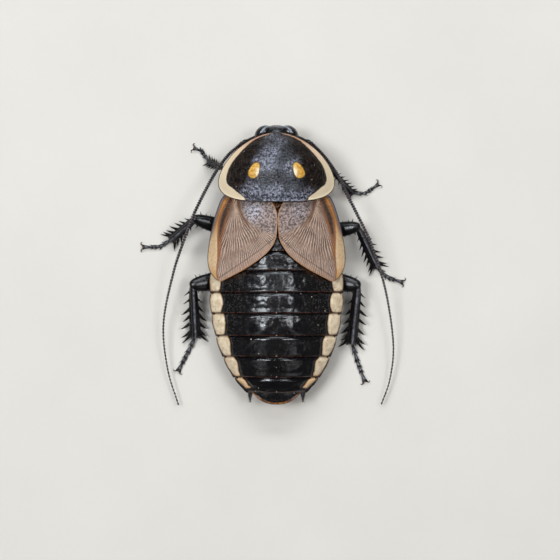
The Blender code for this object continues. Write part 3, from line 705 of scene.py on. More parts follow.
def makeFeelerFinish():
    f = Finish("feelerBeads", feelerTones, specular=0.55)
    colour = f.coats(f.blend(f.noise(1.8, 4, 0.6), "dark", "pale"), (f.value("waist"), "waist"))
    return f.dress(colour, f.uneven(4, 4, 0.16, 0.4), f.bump(f.noise(9, 4, 0.7), 0.015, 0.7))


eyeTones = {"dark": (9, 8, 9), "pale": (24, 17, 14), "crescent": (150, 160, 176)}


def makeEyeFinish():
    f = Finish("facetedEye", eyeTones, coat=0.4, coatRoughness=0.1, specular=0.5)
    # a painted pale blue highlight lies in a curved line along each eye's inner side
    colour = f.coats(f.blend(f.noise(2, 3), "dark", "pale"), (f.value("crescent"), "crescent"))
    return f.dress(colour, f.uneven(5, 3, 0.22, 0.36), f.bump(f.cells(18), 0.012, 0.5))


# plain amber parts: dark and pale tone
amberParts = {
    "mouthpartAmber": ((70, 44, 26), (116, 78, 46)),
    "simpleEye": ((170, 140, 100), (204, 178, 134)),
    "tailAmber": ((120, 70, 30), (168, 104, 48)),
}


def makeAmberFinish(name):
    dark, pale = amberParts[name]
    f = Finish(name, {"dark": dark, "pale": pale}, specular=0.5)
    colour = f.blend(f.noise(2.4, 4), "dark", "pale")
    return f.dress(colour, f.uneven(6, 3, 0.28, 0.46), f.bump(f.noise(9, 4, 0.65), 0.02, 0.6))


tailTones = {
    "dark": (9, 8, 9), "pale": (21, 19, 21), "dustAndGlints": (206, 190, 166), "amberDark": (104, 56, 24),
    "amberPale": (190, 124, 60), "innerLine": (60, 34, 20), "outerLine": (34, 22, 17),
}


def makeTailFinish():
    f = Finish("tailPlate", tailTones, specular=0.55)
    gap = f.value("rimGap")
    amber = f.mottle((2.4, 4, 0.7), 0.4, 0.62, "amberDark", "amberPale")
    # the pale specks are partly debris and partly painted glints
    colour = f.coats(f.blend(f.noise(1.6, 4), "dark", "pale"), (f.specks(1.7, 0.15, 0.6), "dustAndGlints"),
                     (f.rise(gap, 0.38, 0.25), "innerLine"), (f.rise(gap, 0.28, 0.19), amber),
                     (f.rise(gap, 0.13, 0.06), "outerLine"))
    return f.dress(colour, f.uneven(4, 4, 0.14, 0.34), f.bump(f.noise(11, 4, 0.7), 0.014, 0.7))


# the trunk's surface, as the solids have it

trunk = {
    "tailY": -18.1, "widestY": -3.0, "halfWidth": 8.62, "shoulderCurve": 0.0168,
    "marginHeight": 4.3, "tailMarginHeight": 3.3, "backRise": 4.1, "shoulderRise": 3.2,
    "thoraxDrop": 0.8, "bellyDrop": 2.6, "wingRootY": 8.9,
    "ringFronts": (1.8, -0.7, -3.5, -6.2, -9.1, -11.8, -14.5, -16.5),
}


# how far a place is on the way from the widest part to the tail
def tailShare(y):
    return clamp((trunk["widestY"] - y) / (trunk["widestY"] - trunk["tailY"]))


def taperAt(y):
    return np.maximum(1 - tailShare(y) ** 2, 0.004)


def widthAt(y):
    ahead = trunk["halfWidth"] - trunk["shoulderCurve"] * (y - trunk["widestY"]) ** 2
    return np.where(y < trunk["widestY"], trunk["halfWidth"] * taperAt(y) ** 0.5, ahead)


def marginAt(y):
    return mix(trunk["marginHeight"], trunk["tailMarginHeight"], tailShare(y) ** 2)


def riseAt(y):
    rise = mix(trunk["backRise"], trunk["shoulderRise"], clamp(y / trunk["wingRootY"]) ** 2)
    return rise * taperAt(y) ** 0.55


def dropAt(y):
    return mix(trunk["thoraxDrop"], trunk["bellyDrop"], ease(-y, -1, 8)) * taperAt(y) ** 0.5


# heights of the back and the belly, at a share of the half width from the midline
def backHeight(u, y):
    return marginAt(y) + riseAt(y) * np.maximum(1 - u * u, 0) ** 1.05


def bellyHeight(u, y):
    return marginAt(y) - dropAt(y) * np.maximum(1 - u * u, 0) ** 0.6


# pronotum: the shield over the head, black and granular, with its pale border and two glow spots

shield = {
    "halfWidth": 7.55, "frontReach": 6.38, "rearReach": 2.72, "middleY": 10.7,
    "thickness": 0.4, "edgeRound": 0.07, "spokes": 240, "rings": 64,
    # the crown, and how deep the plate falls from it over which reach; the side's fall has a power
    "crown": 10.0, "crownY": 11.3, "frontFall": (3.5, 5.9), "rearFall": (0.45, 2.9), "sideFall": (4.5, 2.3),
    # half of the black field's outline, from the middle of its front round to its rear corner
    "field": ((0, 16.86), (1.2, 16.68), (2.3, 16.28), (3.3, 15.65), (4.64, 14.35), (5.8, 12.9),
              (6.26, 11.85), (6.42, 11.05), (6.24, 10.36), (5.56, 9.78), (4.66, 9.04), (4.1, 8.6),
              (3.6, 8.1), (0, 7.4)),
    "spot": ((2.12, 12.7), (2.45, 13.0), (2.88, 12.85), (3.32, 12.35), (3.62, 11.65), (3.42, 11.18),
             (2.98, 10.98), (2.5, 11.15), (2.2, 11.75)),
    "spotMiddle": (2.88, 12.0), "spotSwell": (0.1, 1.3), "patch": (2.32, 11.75), "patchSize": (0.46, 0.8),
    # uneven ground, and paired hollows: place beside and along the midline, reach and depth
    "ground": ((0.12, 0.55, 3.1), (0.07, 1.5, 7.7), (0.025, 4.5, 1.3)),
    "hollows": ((1.25, 12.9, 0.75, 0.1), (1.5, 10.3, 0.9, 0.1), (3.6, 10.2, 0.8, 0.07)),
}


def shieldHeight(x, y):
    (frontDepth, front), (rearDepth, rear) = shield["frontFall"], shield["rearFall"]
    sideDepth, power = shield["sideFall"]
    swell, reach = shield["spotSwell"]
    ahead = frontDepth * (np.maximum(y - shield["crownY"], 0) / front) ** 2
    behind = rearDepth * (np.maximum(shield["crownY"] - y, 0) / rear) ** 2
    side = sideDepth * (np.abs(x) / shield["halfWidth"]) ** power
    away = np.hypot(np.abs(x) - shield["spotMiddle"][0], y - shield["spotMiddle"][1]) / reach
    return shield["crown"] - ahead - behind - side + swell * np.maximum(1 - away * away, 0) ** 2


# the shield's outline in the plan, at an angle round its middle
def shieldRim(angle):
    across, along = np.cos(angle), np.sin(angle)
    front = along >= 0
    x = shield["halfWidth"] * np.abs(across) ** np.where(front, 1.15, 0.62) * np.sign(across)
    ahead = shield["frontReach"] * np.abs(along) ** 1.25
    return x, np.where(front, ahead, -shield["rearReach"] * np.abs(along) ** 0.85)


# where the painted sheen lies: a middle part that widens to the rear, a rear zone, an arc inside each spot
def paintedSheenAt(places, x, y):
    wedge = ease(1.2 + (17.2 - y) * 0.4 - np.abs(x), -0.5, 1.0)
    rear = ease(-y, -10.6, -8.9) * ease(-np.abs(x), -5.7, -3.9)
    spotGap = np.hypot(np.abs(x) - shield["spotMiddle"][0], y - shield["spotMiddle"][1])
    arc = hump(spotGap - 1.35, 0.4) * ease(3.1 - np.abs(x), -0.4, 0.6) * ease(y, 11.2, 12.2)
    cloud = ease(ripple(places, 0.55, 5.5) - 0.035 * x, -0.3, 0.35)
    return clamp(0.75 * wedge * cloud + 0.95 * rear * (0.45 + 0.55 * cloud) + 0.7 * arc)


def makePronotum(material):
    piece, turn, share = addDisc("shield_plate", shield["spokes"], shield["rings"])
    x, y = (reach * share for reach in shieldRim(turn * math.tau))
    y = shield["middleY"] + y
    places = np.stack([x, y, shieldHeight(x, y)], 1)
    rimX, rimY = shieldRim(np.linspace(0, math.tau, 400, endpoint=False))
    rimGap = planDistance(places, np.stack([rimX, shield["middleY"] + rimY], 1), True)
    otherHalf = onSide(shield["field"][-2:0:-1], -1)
    band = -insideDistance(places, smoothLine(list(shield["field"]) + otherHalf, 220, True))
    folded = np.stack([np.abs(x), y], 1)
    spot = insideDistance(folded, smoothLine(shield["spot"], 60, True))
    patch = (folded - shield["patch"]) / shield["patchSize"]
    # how strongly a grey-blue sheen is painted in at each point
    bloom = paintedSheenAt(places, x, y)
    # a thin raised bead at the edge, a shallow step at the pale border, and uneven ground between
    places[:, 2] += 0.06 * hump(rimGap - 0.08, 0.1) - 0.07 * hump(rimGap - 0.42, 0.26)
    places[:, 2] += 0.06 * ease(-band, 0.0, 0.35) * ease(rimGap, 0.0, 0.6)
    roughen(places, shield["ground"], ease(-band, -0.1, 0.6) * (1 - 0.7 * ease(spot, -0.2, 0.1)))
    for hollowX, hollowY, reach, depth in shield["hollows"]:
        places[:, 2] -= depth * hump(np.hypot(np.abs(x) - hollowX, y - hollowY), reach)
    # a faint keel
    places[:, 2] += 0.05 * hump(x, 0.3) * ease(y, 8.6, 9.6) * ease(-y, -15.5, -14)
    shapeSheet(piece, places)
    storeValues(piece, band=band, spot=spot, spotPatch=hump(np.hypot(patch[:, 0], patch[:, 1]), 1.0),
                rimGap=rimGap, bloom=bloom)
    thicken(piece, shield["thickness"])
    applyModifier(piece, "BEVEL", width=shield["edgeRound"], segments=2, limit_method="ANGLE",
                  angle_limit=math.radians(50))
    settle(piece, material, "shield_cuticle", "pronotum")


# tegmina: the short leathery forewings, with a pale costal band and veins that fan from the shoulder

wing = {
    "outline": ((4.8, 8.8), (6.3, 9.1), (7.0, 8.75), (7.6, 7.5), (8.35, 5.0), (8.83, 2.3), (8.93, 0.4),
                (8.5, -1.05), (7.4, -2.1), (6.2, -1.65), (4.0, -0.5), (2.5, 0.5), (1.3, 1.55), (0.36, 3.0),
                (0.06, 4.8), (0.08, 6.4), (0.5, 7.6), (1.2, 8.35), (2.8, 8.75)),
    "base": (5.35, 7.7), "spokes": 440, "rings": 50, "thickness": 0.2, "lift": 0.4, "rise": 0.42,
    "archWidth": 9.2, "archCurve": 0.0135, "veins": 28, "veinHeight": 0.03,
    "meetingX": 0.16, "meetingRun": 3.0, "bandHeight": 0.1, "furrowDepth": 0.12, "grooveDepth": 0.05,
    # the inner edge of the costal band, the dark streak beside it and the amber zone's inner edge
    "costa": ((5.9, 9.4), (6.14, 8.6), (6.8, 7.43), (7.36, 6.03), (7.53, 4.65), (7.6, 3.25), (7.55, 1.4),
              (7.68, -0.45), (7.67, -1.39), (7.35, -2.5)),
    "streak": ((5.7, 9.2), (5.98, 8.4), (6.33, 7.43), (6.9, 6.03), (7.2, 4.65), (7.32, 3.2)),
    "streakWidths": ((3.0, 0.06), (4.65, 0.16), (6.0, 0.3), (7.4, 0.26), (8.4, 0.2)),
    "amber": ((5.2, 9.2), (5.5, 8.2), (5.8, 7.3), (6.05, 6.5), (6.4, 5.5), (6.75, 4.4), (7.0, 3.3),
              (7.2, 1.7), (7.5, -0.4)),
    "peach": ((5.4, 8.7), (5.28, 7.4), (5.1, 6.0), (4.95, 4.6)),
    "furrow": ((5.0, 8.7), (4.9, 8.2), (4.65, 6.9), (4.1, 5.7), (3.2, 4.8), (1.8, 4.0), (0.2, 3.5)),
    "groove": ((7.3, -1.6), (6.96, -1.37), (4.42, 0.29), (2.47, 1.65), (0.71, 3.12), (0.3, 3.6)),
    "knoll": (2.95, 6.95),
}


# the map gives the veins' count across the fan, and the share of the way to the rim
def mapFan(piece, turn, share, phase):
    piece.data.uv_layers[0].name = "WingFan"
    fanMap = piece.data.uv_layers["WingFan"].data
    for face in piece.data.polygons:
        corners = [piece.data.loops[loop].vertex_index for loop in face.loop_indices]
        # a face across the end of the turn counts on, and the base has no turn of its own
        wraps = max(turn[corners]) - min(turn[corners]) > 0.5
        counts = [phase[c] + wing["veins"] * (wraps and turn[c] < 0.5) for c in corners]
        known = [count for count, c in zip(counts, corners) if share[c] > 1e-4]
        for loop, c, count in zip(face.loop_indices, corners, counts):
            fanMap[loop].uv = (count if share[c] > 1e-4 else sum(known) / len(known), share[c])


def makeWing(sideName, side, material):
    piece, turn, share = addDisc("wing_" + sideName, wing["spokes"], wing["rings"])
    rim = smoothLine(wing["outline"], wing["spokes"], True)
    spoke = np.rint(turn * wing["spokes"]).astype(int) % wing["spokes"]
    base = np.array(wing["base"])
    x, y = (base + (rim[spoke] - base) * share[:, None]).T
    width = wing["archWidth"] - wing["archCurve"] * (y - trunk["widestY"]) ** 2
    across = np.maximum(1 - (x / width) ** 2, 0)
    z = marginAt(y) + wing["lift"] + (riseAt(y) + wing["rise"]) * across ** 1.05
    places = np.stack([x, y, z], 1)
    border = planDistance(places, rim, True)
    costa, amber = (besideLine(places, wing[name]) for name in ("costa", "amber"))
    clavus = -besideLine(places, wing["furrow"], 60)
    grooveLine = smoothLine(wing["groove"], 60)
    groove = planDistance(places, grooveLine)
    grooveY = np.interp(x, grooveLine[::-1, 0], grooveLine[::-1, 1])
    groove = np.where(y < grooveY, groove, -groove)
    streakAt, streakHalf = np.array(wing["streakWidths"]).T
    streakGap = planDistance(places, smoothLine(wing["streak"], 60))
    streak = ease(streakGap - np.interp(y, streakAt, streakHalf), 0.22, -0.14) * ease(y, 2.6, 4.4)
    peachGap = planDistance(places, smoothLine(wing["peach"], 60))
    peach = hump(peachGap, 0.16 + 0.09 * (8.4 - y)) * ease(y, 5.0, 7.4)
    knoll = hump(np.hypot((x - wing["knoll"][0]) / 0.9, y - wing["knoll"][1]), 1.15)
    # each vein wanders a little from its spoke, more at large than in detail
    wander = 0.35 * ripple(places, 0.45, 4 + side) + 0.08 * ripple(places, 1.5, 9 + side)
    wander *= ease(share, 0.05, 0.3)
    phase = turn * wing["veins"] + wander
    # relief: veins on the fan, the sunken furrow and groove, the swollen costal band and a rim bead
    fan = ease(share, 0.08, 0.3) * ease(-costa, 0.0, 0.3) * ease(-groove, -0.02, 0.1)
    wave = mix(np.cos(phase * math.tau), np.cos(phase * math.tau * 2), ease(share, 0.28, 0.44))
    z = z + wing["veinHeight"] * fan * wave * (1 - 0.8 * ease(clavus, 0, 0.6))
    z += wing["bandHeight"] * ease(costa, -0.1, 0.35) * ease(border, 0.05, 0.4)
    z -= (wing["furrowDepth"] * hump(clavus, 0.28) * ease(y, 3.8, 6)
          + wing["grooveDepth"] * hump(groove, 0.1) + 0.08 * streak)
    z += 0.06 * hump(np.hypot(x - base[0], y - base[1]), 0.5) + 0.16 * knoll
    z += 0.03 * hump(border - 0.05, 0.08)
    places[:, 2] = z
    ground = 0.07 * ripple(places, 0.8, 5 + side) + 0.02 * ripple(places, 3.0, 2)
    places[:, 2] += ease(border, 0, 0.5) * ground
    # the left wing laps over the midline
    places[:, 0] = side * x + wing["meetingX"] * (1 - ease(x, 0, wing["meetingRun"]))
    shapeSheet(piece, places)
    storeValues(piece, border=border, costa=costa, clavus=clavus, groove=groove, streak=streak,
                amber=ease(amber, -0.18, 0.1) * ease(y, -0.8, 1.6), peach=peach, knoll=knoll)
    mapFan(piece, turn, share, phase)
    thicken(piece, wing["thickness"], even=False)
    settle(piece, material, "wing_leather", "tegmen_" + sideName)


# abdomen: seven overlapping rings, each with a glossy back plate, pale side lobes and a belly plate

ring = {
    # columns, rows and the lap under the plate in front
    "grid": (150, 30, 0.5), "thickness": 0.2, "bellyGrid": (56, 12, 0.35), "bellyThickness": 0.16,
    # each pale lobe's place behind the middle, its inner edge and its outer edge: front, middle, rear
    "lobes": {2: ((-0.8, 7.1, 8.5), (-2.1, 7.2, 8.62), (-3.4, 7.4, 8.56)),
              3: ((-3.56, 7.23, 8.52), (-4.85, 6.94, 8.62), (-6.14, 7.16, 8.45)),
              4: ((-6.26, 6.8, 8.32), (-7.65, 6.62, 8.24), (-9.04, 6.76, 7.88)),
              5: ((-9.16, 6.26, 7.76), (-10.4, 5.97, 7.54), (-11.74, 5.9, 6.95)),
              6: ((-11.86, 5.46, 6.82), (-13.1, 4.97, 6.38), (-14.44, 4.74, 5.6)),
              7: ((-14.6, 4.34, 5.28), (-15.28, 3.86, 4.74), (-15.98, 3.36, 4.16))},
    # for each ring: how deep it starts behind its seam, how full its paired bosses are, and how far
    # its back is levelled along them
    "dips": (0.24, 0.24, 0.24, 0.24, 0.25, 0.28, 0.33),
    "bosses": (1.0, 1.0, 1.0, 1.1, 0.45, 0.0, 0.0),
    "levels": (0.0, 0.0, 0.0, 0.17, 0.1, 0.0, 0.0),
}


# a pale lobe's outline, with two points to each rounded corner; the last ring's is straighter
def lobeOutline(number):
    soft = 0.17
    fullness = 0.5 if number == 7 else 0.3
    front, middle, rear = ring["lobes"][number]
    frontY, frontIn, frontOut = front
    middleY, middleIn, middleOut = middle
    rearY, rearIn, rearOut = rear
    points = [(frontIn + soft, frontY), (frontIn, frontY - soft),
              (mix(middleIn, frontIn, fullness), mix(middleY, frontY, 0.5)), (middleIn, middleY),
              (mix(middleIn, rearIn, fullness), mix(middleY, rearY, 0.5)), (rearIn, rearY + soft),
              (rearIn + soft, rearY), (rearOut - soft, rearY), (rearOut, rearY + soft),
              (middleOut, middleY), (frontOut, frontY - soft), (frontOut - soft, frontY)]
    return smoothLine(points, 100, True)


def makeBackPlate(number, front, rear, material):
    piece, u, s, y, long = addPlate(f"back_plate_{number}", *ring["grid"], front, rear)
    dip, pairs, level = (ring[name][number - 1] for name in ("dips", "bosses", "levels"))
    q = clamp(s / long)
    seen = ease(s, -0.25, 0.25)
    bow = 0.14 * np.sin(math.pi * q) - 0.14 * ease(-q, -0.2, 0.0)
    x = u * (widthAt(y) + bow * seen - 0.32 * (1 - seen))
    z = backHeight(u, y)
    # the rear corners run back to a small point
    y = y - 0.16 * ease(np.abs(u), 0.93, 1.0) * ease(q, 0.7, 1.0)
    # an even slope behind each seam catches the light as one bright line
    swell = np.where(s < 0, -dip + 0.3 * s, mix(-dip, 0.0, clamp(s / 0.5)))
    swell = swell + 0.1 * ease(s, long - 0.7, long - 0.05) - 0.05 * ease(s, long - 0.1, long)
    lobe = np.full(len(x), -3.0)
    if number in ring["lobes"]:
        lobe = insideDistance(np.stack([np.abs(x), y], 1), lobeOutline(number))
    z = z + swell + 0.15 * ease(lobe, -0.05, 0.45) - 0.08 * hump(lobe + 0.12, 0.14)
    # paired bosses beside the midline, each with a small pit, and a hollow on each flank
    boss = np.hypot(np.abs(x) - 1.75, (s - long * 0.45) * 0.9)
    z += pairs * (0.11 * hump(boss, 0.85) - 0.05 * hump(boss, 0.22))
    ends = ease(s, 0.2, 0.7) * ease(long - s, 0.1, 0.7)
    z += level * (s - long * 0.45) * hump(np.abs(x) - 1.9, 1.3) * ends
    z -= pairs * 0.05 * hump(np.hypot(np.abs(x) - 3.3, s - long * 0.5), 0.4)
    z -= 0.05 * hump(np.hypot(np.abs(x) - 4.6, (s - long * 0.5) * 1.2), 0.9)
    places = np.stack([x, y, z], 1)
    calm = ease(s, 0.1, 0.6) * ease(long - s, 0.0, 0.4)
    roughen(places, ((0.06, 0.75, number * 3.3), (0.022, 2.4, number * 1.7)), calm)
    shapeSheet(piece, places)
    # brown shade along the wing's rear edge
    folded = np.stack([np.abs(x), y], 1)
    behindWing = planDistance(folded, smoothLine(wing["outline"], 200, True), True)
    shade = ease(-behindWing, -0.85, -0.1) * hump(np.abs(x) - 4.5, 1.2) * 0.9
    storeValues(piece, lobe=lobe, rearGap=long - s, frontGap=s, wingShade=shade)
    thicken(piece, ring["thickness"])
    settle(piece, material, "ring_cuticle", f"abdomen_{number}")


def makeBellyPlate(number, front, rear, material):
    piece, u, s, y, long = addPlate(f"belly_plate_{number}", *ring["bellyGrid"], front, rear)
    u = np.sin(u * math.pi / 2)
    z = bellyHeight(u, y) + 0.1
    # each plate laps the next one from below
    z += np.where(s < 0, 0.26, mix(0.22, 0.0, ease(s, 0, 0.5))) - 0.06 * ease(s, long - 0.5, long)
    places = np.stack([u * (widthAt(y) - 0.22), y, z], 1)
    roughen(places, ((0.04, 0.9, number * 2.1),))
    shapeSheet(piece, places, upwards=False)
    thicken(piece, ring["bellyThickness"])
    settle(piece, material, "ring_cuticle", f"abdomen_{number}")


def makeAbdomen(backMaterial, bellyMaterial):
    fronts = trunk["ringFronts"]
    for number, (front, rear) in enumerate(zip(fronts, fronts[1:]), 1):
        makeBackPlate(number, front, rear, backMaterial)
        makeBellyPlate(number, front, rear, bellyMaterial)


# the last plates: a black one above with an amber rim, an amber one below

tail = {"front": -16.5, "overlap": 0.42, "reach": 1.65, "halfWidth": 3.42, "rise": 1.35,
        "marginHeight": 3.38, "lowerDrop": 0.32, "thickness": 0.18, "columns": 60, "rows": 22}


def makeTailPlate(name, upper, material, slotName, node):
    piece, u, v = addGrid(name, tail["columns"], tail["rows"])
    s = (1 - v) / 2
    x = u * tail["halfWidth"] * (1 - 0.04 * s)
    # the plate's rear edge is an arc, so each column is as long as the arc allows
    length = tail["overlap"] + tail["reach"] * (1 - np.abs(u) ** 2.4)
    y = tail["front"] + tail["overlap"] - s * length
    behind = clamp((tail["front"] - y) / tail["reach"])
    rise = tail["rise"] * np.maximum(1 - u * u, 0) ** 0.9 * np.maximum(1 - 0.62 * behind ** 1.6, 0)
    margin = tail["marginHeight"] - 0.12 * behind
    edge = np.minimum((1 - s) * length, (1 - np.abs(u)) * tail["halfWidth"])
    if upper:
        z = margin + rise + 0.08 - 0.25 * ease(tail["front"] - y, -0.05, -tail["overlap"])
        z += 0.09 * hump(edge - 0.15, 0.13) - 0.06 * hump(edge - 0.45, 0.12)
        places = np.stack([x, y, z], 1)
        roughen(places, ((0.03, 1.3, 4.4),))
    else:
        places = np.stack([x, y, margin - tail["lowerDrop"] - 0.5 * rise], 1)
    shapeSheet(piece, places, upper)
    if upper:
        storeValues(piece, rimGap=edge)
    thicken(piece, tail["thickness"])
    settle(piece, material, slotName, node)


# the thorax under the wings, its underside, and the soft core that the plates are hinged on

thorax = {
    "segments": (("middle", 8.9, 5.3, "mesothorax"), ("rear", 5.3, 1.8, "metathorax")),
    "grid": (80, 24, 0.2), "thickness": 0.18, "inset": 0.15,
    "breastColumns": 48, "breastRows": 18, "breastThickness": 0.16, "breastInset": 0.25,
    # the small shield between the wing roots: place along the midline, half width and half length
    "mound": (7.75, 0.85, 1.05), "moundHeight": 0.6,
    # how far the core lies inside the plates at the side, above and below
    "coreInset": (0.42, 0.5, 0.45),
}


def makeThoraxPlate(name, front, rear, node, material):
    piece, u, s, y, long = addPlate("thorax_plate_" + name, *thorax["grid"], front, rear)
    x = u * (widthAt(y) - thorax["inset"])
    z = backHeight(u, y) + mix(-0.2, 0.0, ease(s, 0.0, 0.5)) + 0.06 * ease(s, long - 0.5, long)
    if name == "middle":
        # the mound is parted by a midline
        moundY, halfWidth, halfLength = thorax["mound"]
        mound = np.hypot(x / halfWidth, (y - moundY) / halfLength)
        z += thorax["moundHeight"] * ease(-mound, -1.0, -0.45)
        z -= 0.14 * hump(x, 0.07) * ease(-mound, -1.1, -0.9)
    places = np.stack([x, y, z], 1)
    roughen(places, ((0.06, 1.1, 9.1),))
    shapeSheet(piece, places)
    storeValues(piece, lobe=np.full(len(places), -3.0), wingShade=2.4 * hump(x, 1.6) * ease(y, 5.0, 7.0),
                rearGap=long - s, frontGap=s + 1)
    thicken(piece, thorax["thickness"])
    settle(piece, material, "black_cuticle", node)


def makeBreastPlate(name, front, rear, node, material):
    piece, u, v = addGrid("breast_plate_" + name, thorax["breastColumns"], thorax["breastRows"])
    y = mix(front + 0.1, rear - 0.1, (1 - v) / 2)
    u = np.sin(u * math.pi / 2)
    x = u * (widthAt(y) - thorax["breastInset"])
    # a groove down the midline and a ridge on each side
    z = bellyHeight(u, y) + 0.05 - 0.12 * hump(x, 0.5)
    z += 0.1 * hump(np.abs(x) - 2.2, 0.3)
    shapeSheet(piece, np.stack([x, y, z], 1), upwards=False)
    thicken(piece, thorax["breastThickness"])
    settle(piece, material, "black_cuticle", node)


# the core lies inside the plates and closes the seams between them
def makeCore(membrane):
    core = addBall("body_core", segments=64, rings=60)
    ball = getPoints(core)
    share = np.arccos(clamp(ball[:, 2], -1, 1)) / math.pi
    around = np.arctan2(ball[:, 1], ball[:, 0])
    pole = (share < 0.001) | (share > 0.999)
    aside, above, below = thorax["coreInset"]
    y = mix(trunk["wingRootY"] - 0.1, trunk["tailY"] + 1.0, share)
    u = np.cos(around) * np.where(pole, 0.0, 1.0)
    middle = marginAt(y) + 0.02
    top = np.maximum(backHeight(u, y) - above, middle)
    bottom = np.minimum(bellyHeight(u, y) + below, middle)
    z = np.where(pole, middle, np.where(np.sin(around) >= 0, top, bottom))
    setPoints(core, np.stack([u * (widthAt(y) - aside), y, z], 1))
    faceOutwards(core)
    settle(core, membrane, "black_cuticle", "metathorax")


def makeThorax(ringed, black, membrane):
    for segment in thorax["segments"]:
        makeThoraxPlate(*segment, ringed)
    for segment in thorax["segments"]:
        makeBreastPlate(*segment, black)
    makeCore(membrane)


prothorax = {
    "stations": ((9.05, 4.55, 2.5, 6.05), (9.3, 4.6, 2.55, 6.05), (10.4, 4.6, 2.7, 6.2),
                 (11.6, 4.35, 2.72, 6.2), (12.6, 3.9, 2.6, 6.05), (13.4, 2.9, 2.0, 5.5),
                 (13.9, 2.1, 1.4, 4.9), (14.3, 1.5, 1.0, 4.6)),
    "neck": ((0, 13.9, 4.6), (0, 14.6, 4.3), (0, 15.3, 3.9)),
    "neckRadii": (1.25, 1.35, 1.25, 1.35, 1.25, 1.3, 1.2, 1.25, 1.15),
}


def makeProthorax(black, membrane):
    chest = growShape("prothorax_box", prothorax["stations"], 20, 2)
    # grown up Z, it is laid forward along +Y; its lean becomes height
    chest.data.transform(Matrix(((-1, 0, 0, 0), (0, 0, 1, 0), (0, 1, 0, 0), (0, 0, 0, 1))))
    places = getPoints(chest)
    places[:, 2] += 0.14 * hump(np.abs(places[:, 0]) - 1.5, 0.5) * (places[:, 2] < 4.6)
    setPoints(chest, places)
    settle(chest, black, "black_cuticle", "prothorax")
    radii = prothorax["neckRadii"]
    neck = drawTube("neck", smoothLine(prothorax["neck"], len(radii)), radii, 6)
    settle(neck, membrane, "black_cuticle", "prothorax")


# head: hangs under the shield with its face turned forward and down

head = {
    "centre": (0, 16.35, 3.45), "radii": (2.25, 1.64, 2.35), "tilt": math.radians(-25),
    "eye": (1.65, 17.05, 4.45), "eyeRadii": (1.24, 0.9, 1.22), "eyeYaw": math.radians(-33),
    # the line of the painted highlight on each eye, in the plan
    "crescent": ((1.08, 17.96), (1.42, 17.78), (1.7, 17.52), (1.88, 17.22)),
    # in the head's own axes: the feeler's socket and its outward way, the simple eye, the jaw's root
    "socket": (1.2, 1.3, -0.3), "socketWay": (1.75, 2.1, -0.35), "socketRadii": (0.38, 0.09),
    "simpleEye": (0.95, 1.42, 0.22), "simpleEyeRadii": (0.2, 0.12, 0.24), "jawRoot": (0.85, 0.35, -1.5),
    "jaw": ((0, 0.42, 0.36, 0), (0.35, 0.5, 0.4, 0), (0.75, 0.46, 0.34, 0), (1.1, 0.3, 0.22, 0),
            (1.32, 0.1, 0.1, 0)),
    "lip": (0, 15.5, 0.98), "lipRadii": (0.82, 0.3, 0.62),
}
headTurn = Matrix.Rotation(head["tilt"], 3, "X")


# a place given in the head's own axes: right, out of the face, up to the crown
def headPlace(x, y, z, side=1):
    return Vector(head["centre"]) + headTurn @ Vector((x * side, y, z))


def makeSkull():
    skull = addBall("head_capsule", segments=72, rings=52)
    a, b, c = getPoints(skull).T
    # pear shaped from the front: broad at the eyes, narrow at the mouth, with a flattened face
    wide = head["radii"][0] * (1 - 0.34 * ease(-c, -0.15, 1.0) - 0.05 * ease(c, 0.5, 1))
    x, z = a * wide, c * head["radii"][2]
    y = np.sign(b) * np.abs(b) ** np.where(b > 0, 0.8, 1.0) * head["radii"][1]
    face = ease(b, 0.0, 0.5)
    # the forked seam down the crown and brow, the cheeks' seams and the clypeus step
    fork = np.where(z > 0.55, np.abs(x), np.abs(np.abs(x) - (0.55 - z) * 0.75))
    y -= 0.05 * hump(fork, 0.06) * face * ease(z, -0.7, -0.4)
    y -= 0.07 * hump(np.abs(x) - 1.05, 0.1) * face * ease(-z, 0.6, 0.9)
    y += 0.12 * ease(-z, 1.05, 1.2) * ease(-np.abs(x), -0.95, -0.75) * face
    y -= 0.1 * hump(np.hypot(np.abs(x) - 1.3, z + 0.25), 0.42) * face
    places = np.stack([x, y, z], 1)
    places[:, 1] += 0.04 * ripple(places, 1.3, 6.1) * face
    setPoints(skull, places @ np.array(headTurn).T + np.array(head["centre"]))
    # a painted grey-blue sheen on the crown between the eyes
    storeValues(skull, sheen=0.8 * ease(z, 0.6, 1.3) * ease(-np.abs(x), -1.3, -0.8) * face)
    return skull


# the ring round a feeler's socket
def makeSocket(side):
    place = headPlace(*head["socket"], side)
    outwards = (headPlace(*head["socketWay"], side) - place).normalized()
    major, minor = head["socketRadii"]
    bpy.ops.object.select_all(action="DESELECT")
    bpy.ops.mesh.primitive_torus_add(major_radius=major, minor_radius=minor, major_segments=28,
                                     minor_segments=10)
    socket = nameNew("socket")
    socket.data.transform(layAlong(place, outwards))
    return socket


# a jaw: a stout wedge with three teeth on its inner edge
def makeJaw(side):
    jaw = growShape("jaw", head["jaw"], 12, 2, leanX=True)
    points = getPoints(jaw)
    points[:, 0] += -0.35 * side * ease(points[:, 2], 0.4, 1.3)
    points[:, 0] -= side * 0.06 * np.sin(points[:, 2] * 14) * (points[:, 0] * -side > 0.1)
    setPoints(jaw, points)
    down = headPlace(0, 0, -1) - headPlace(0, 0, 0)
    jaw.data.transform(layAlong(headPlace(*head["jawRoot"], side), down, (0, 1, 0), (side * -1, 1, 1)))
    faceOutwards(jaw)
    return jaw


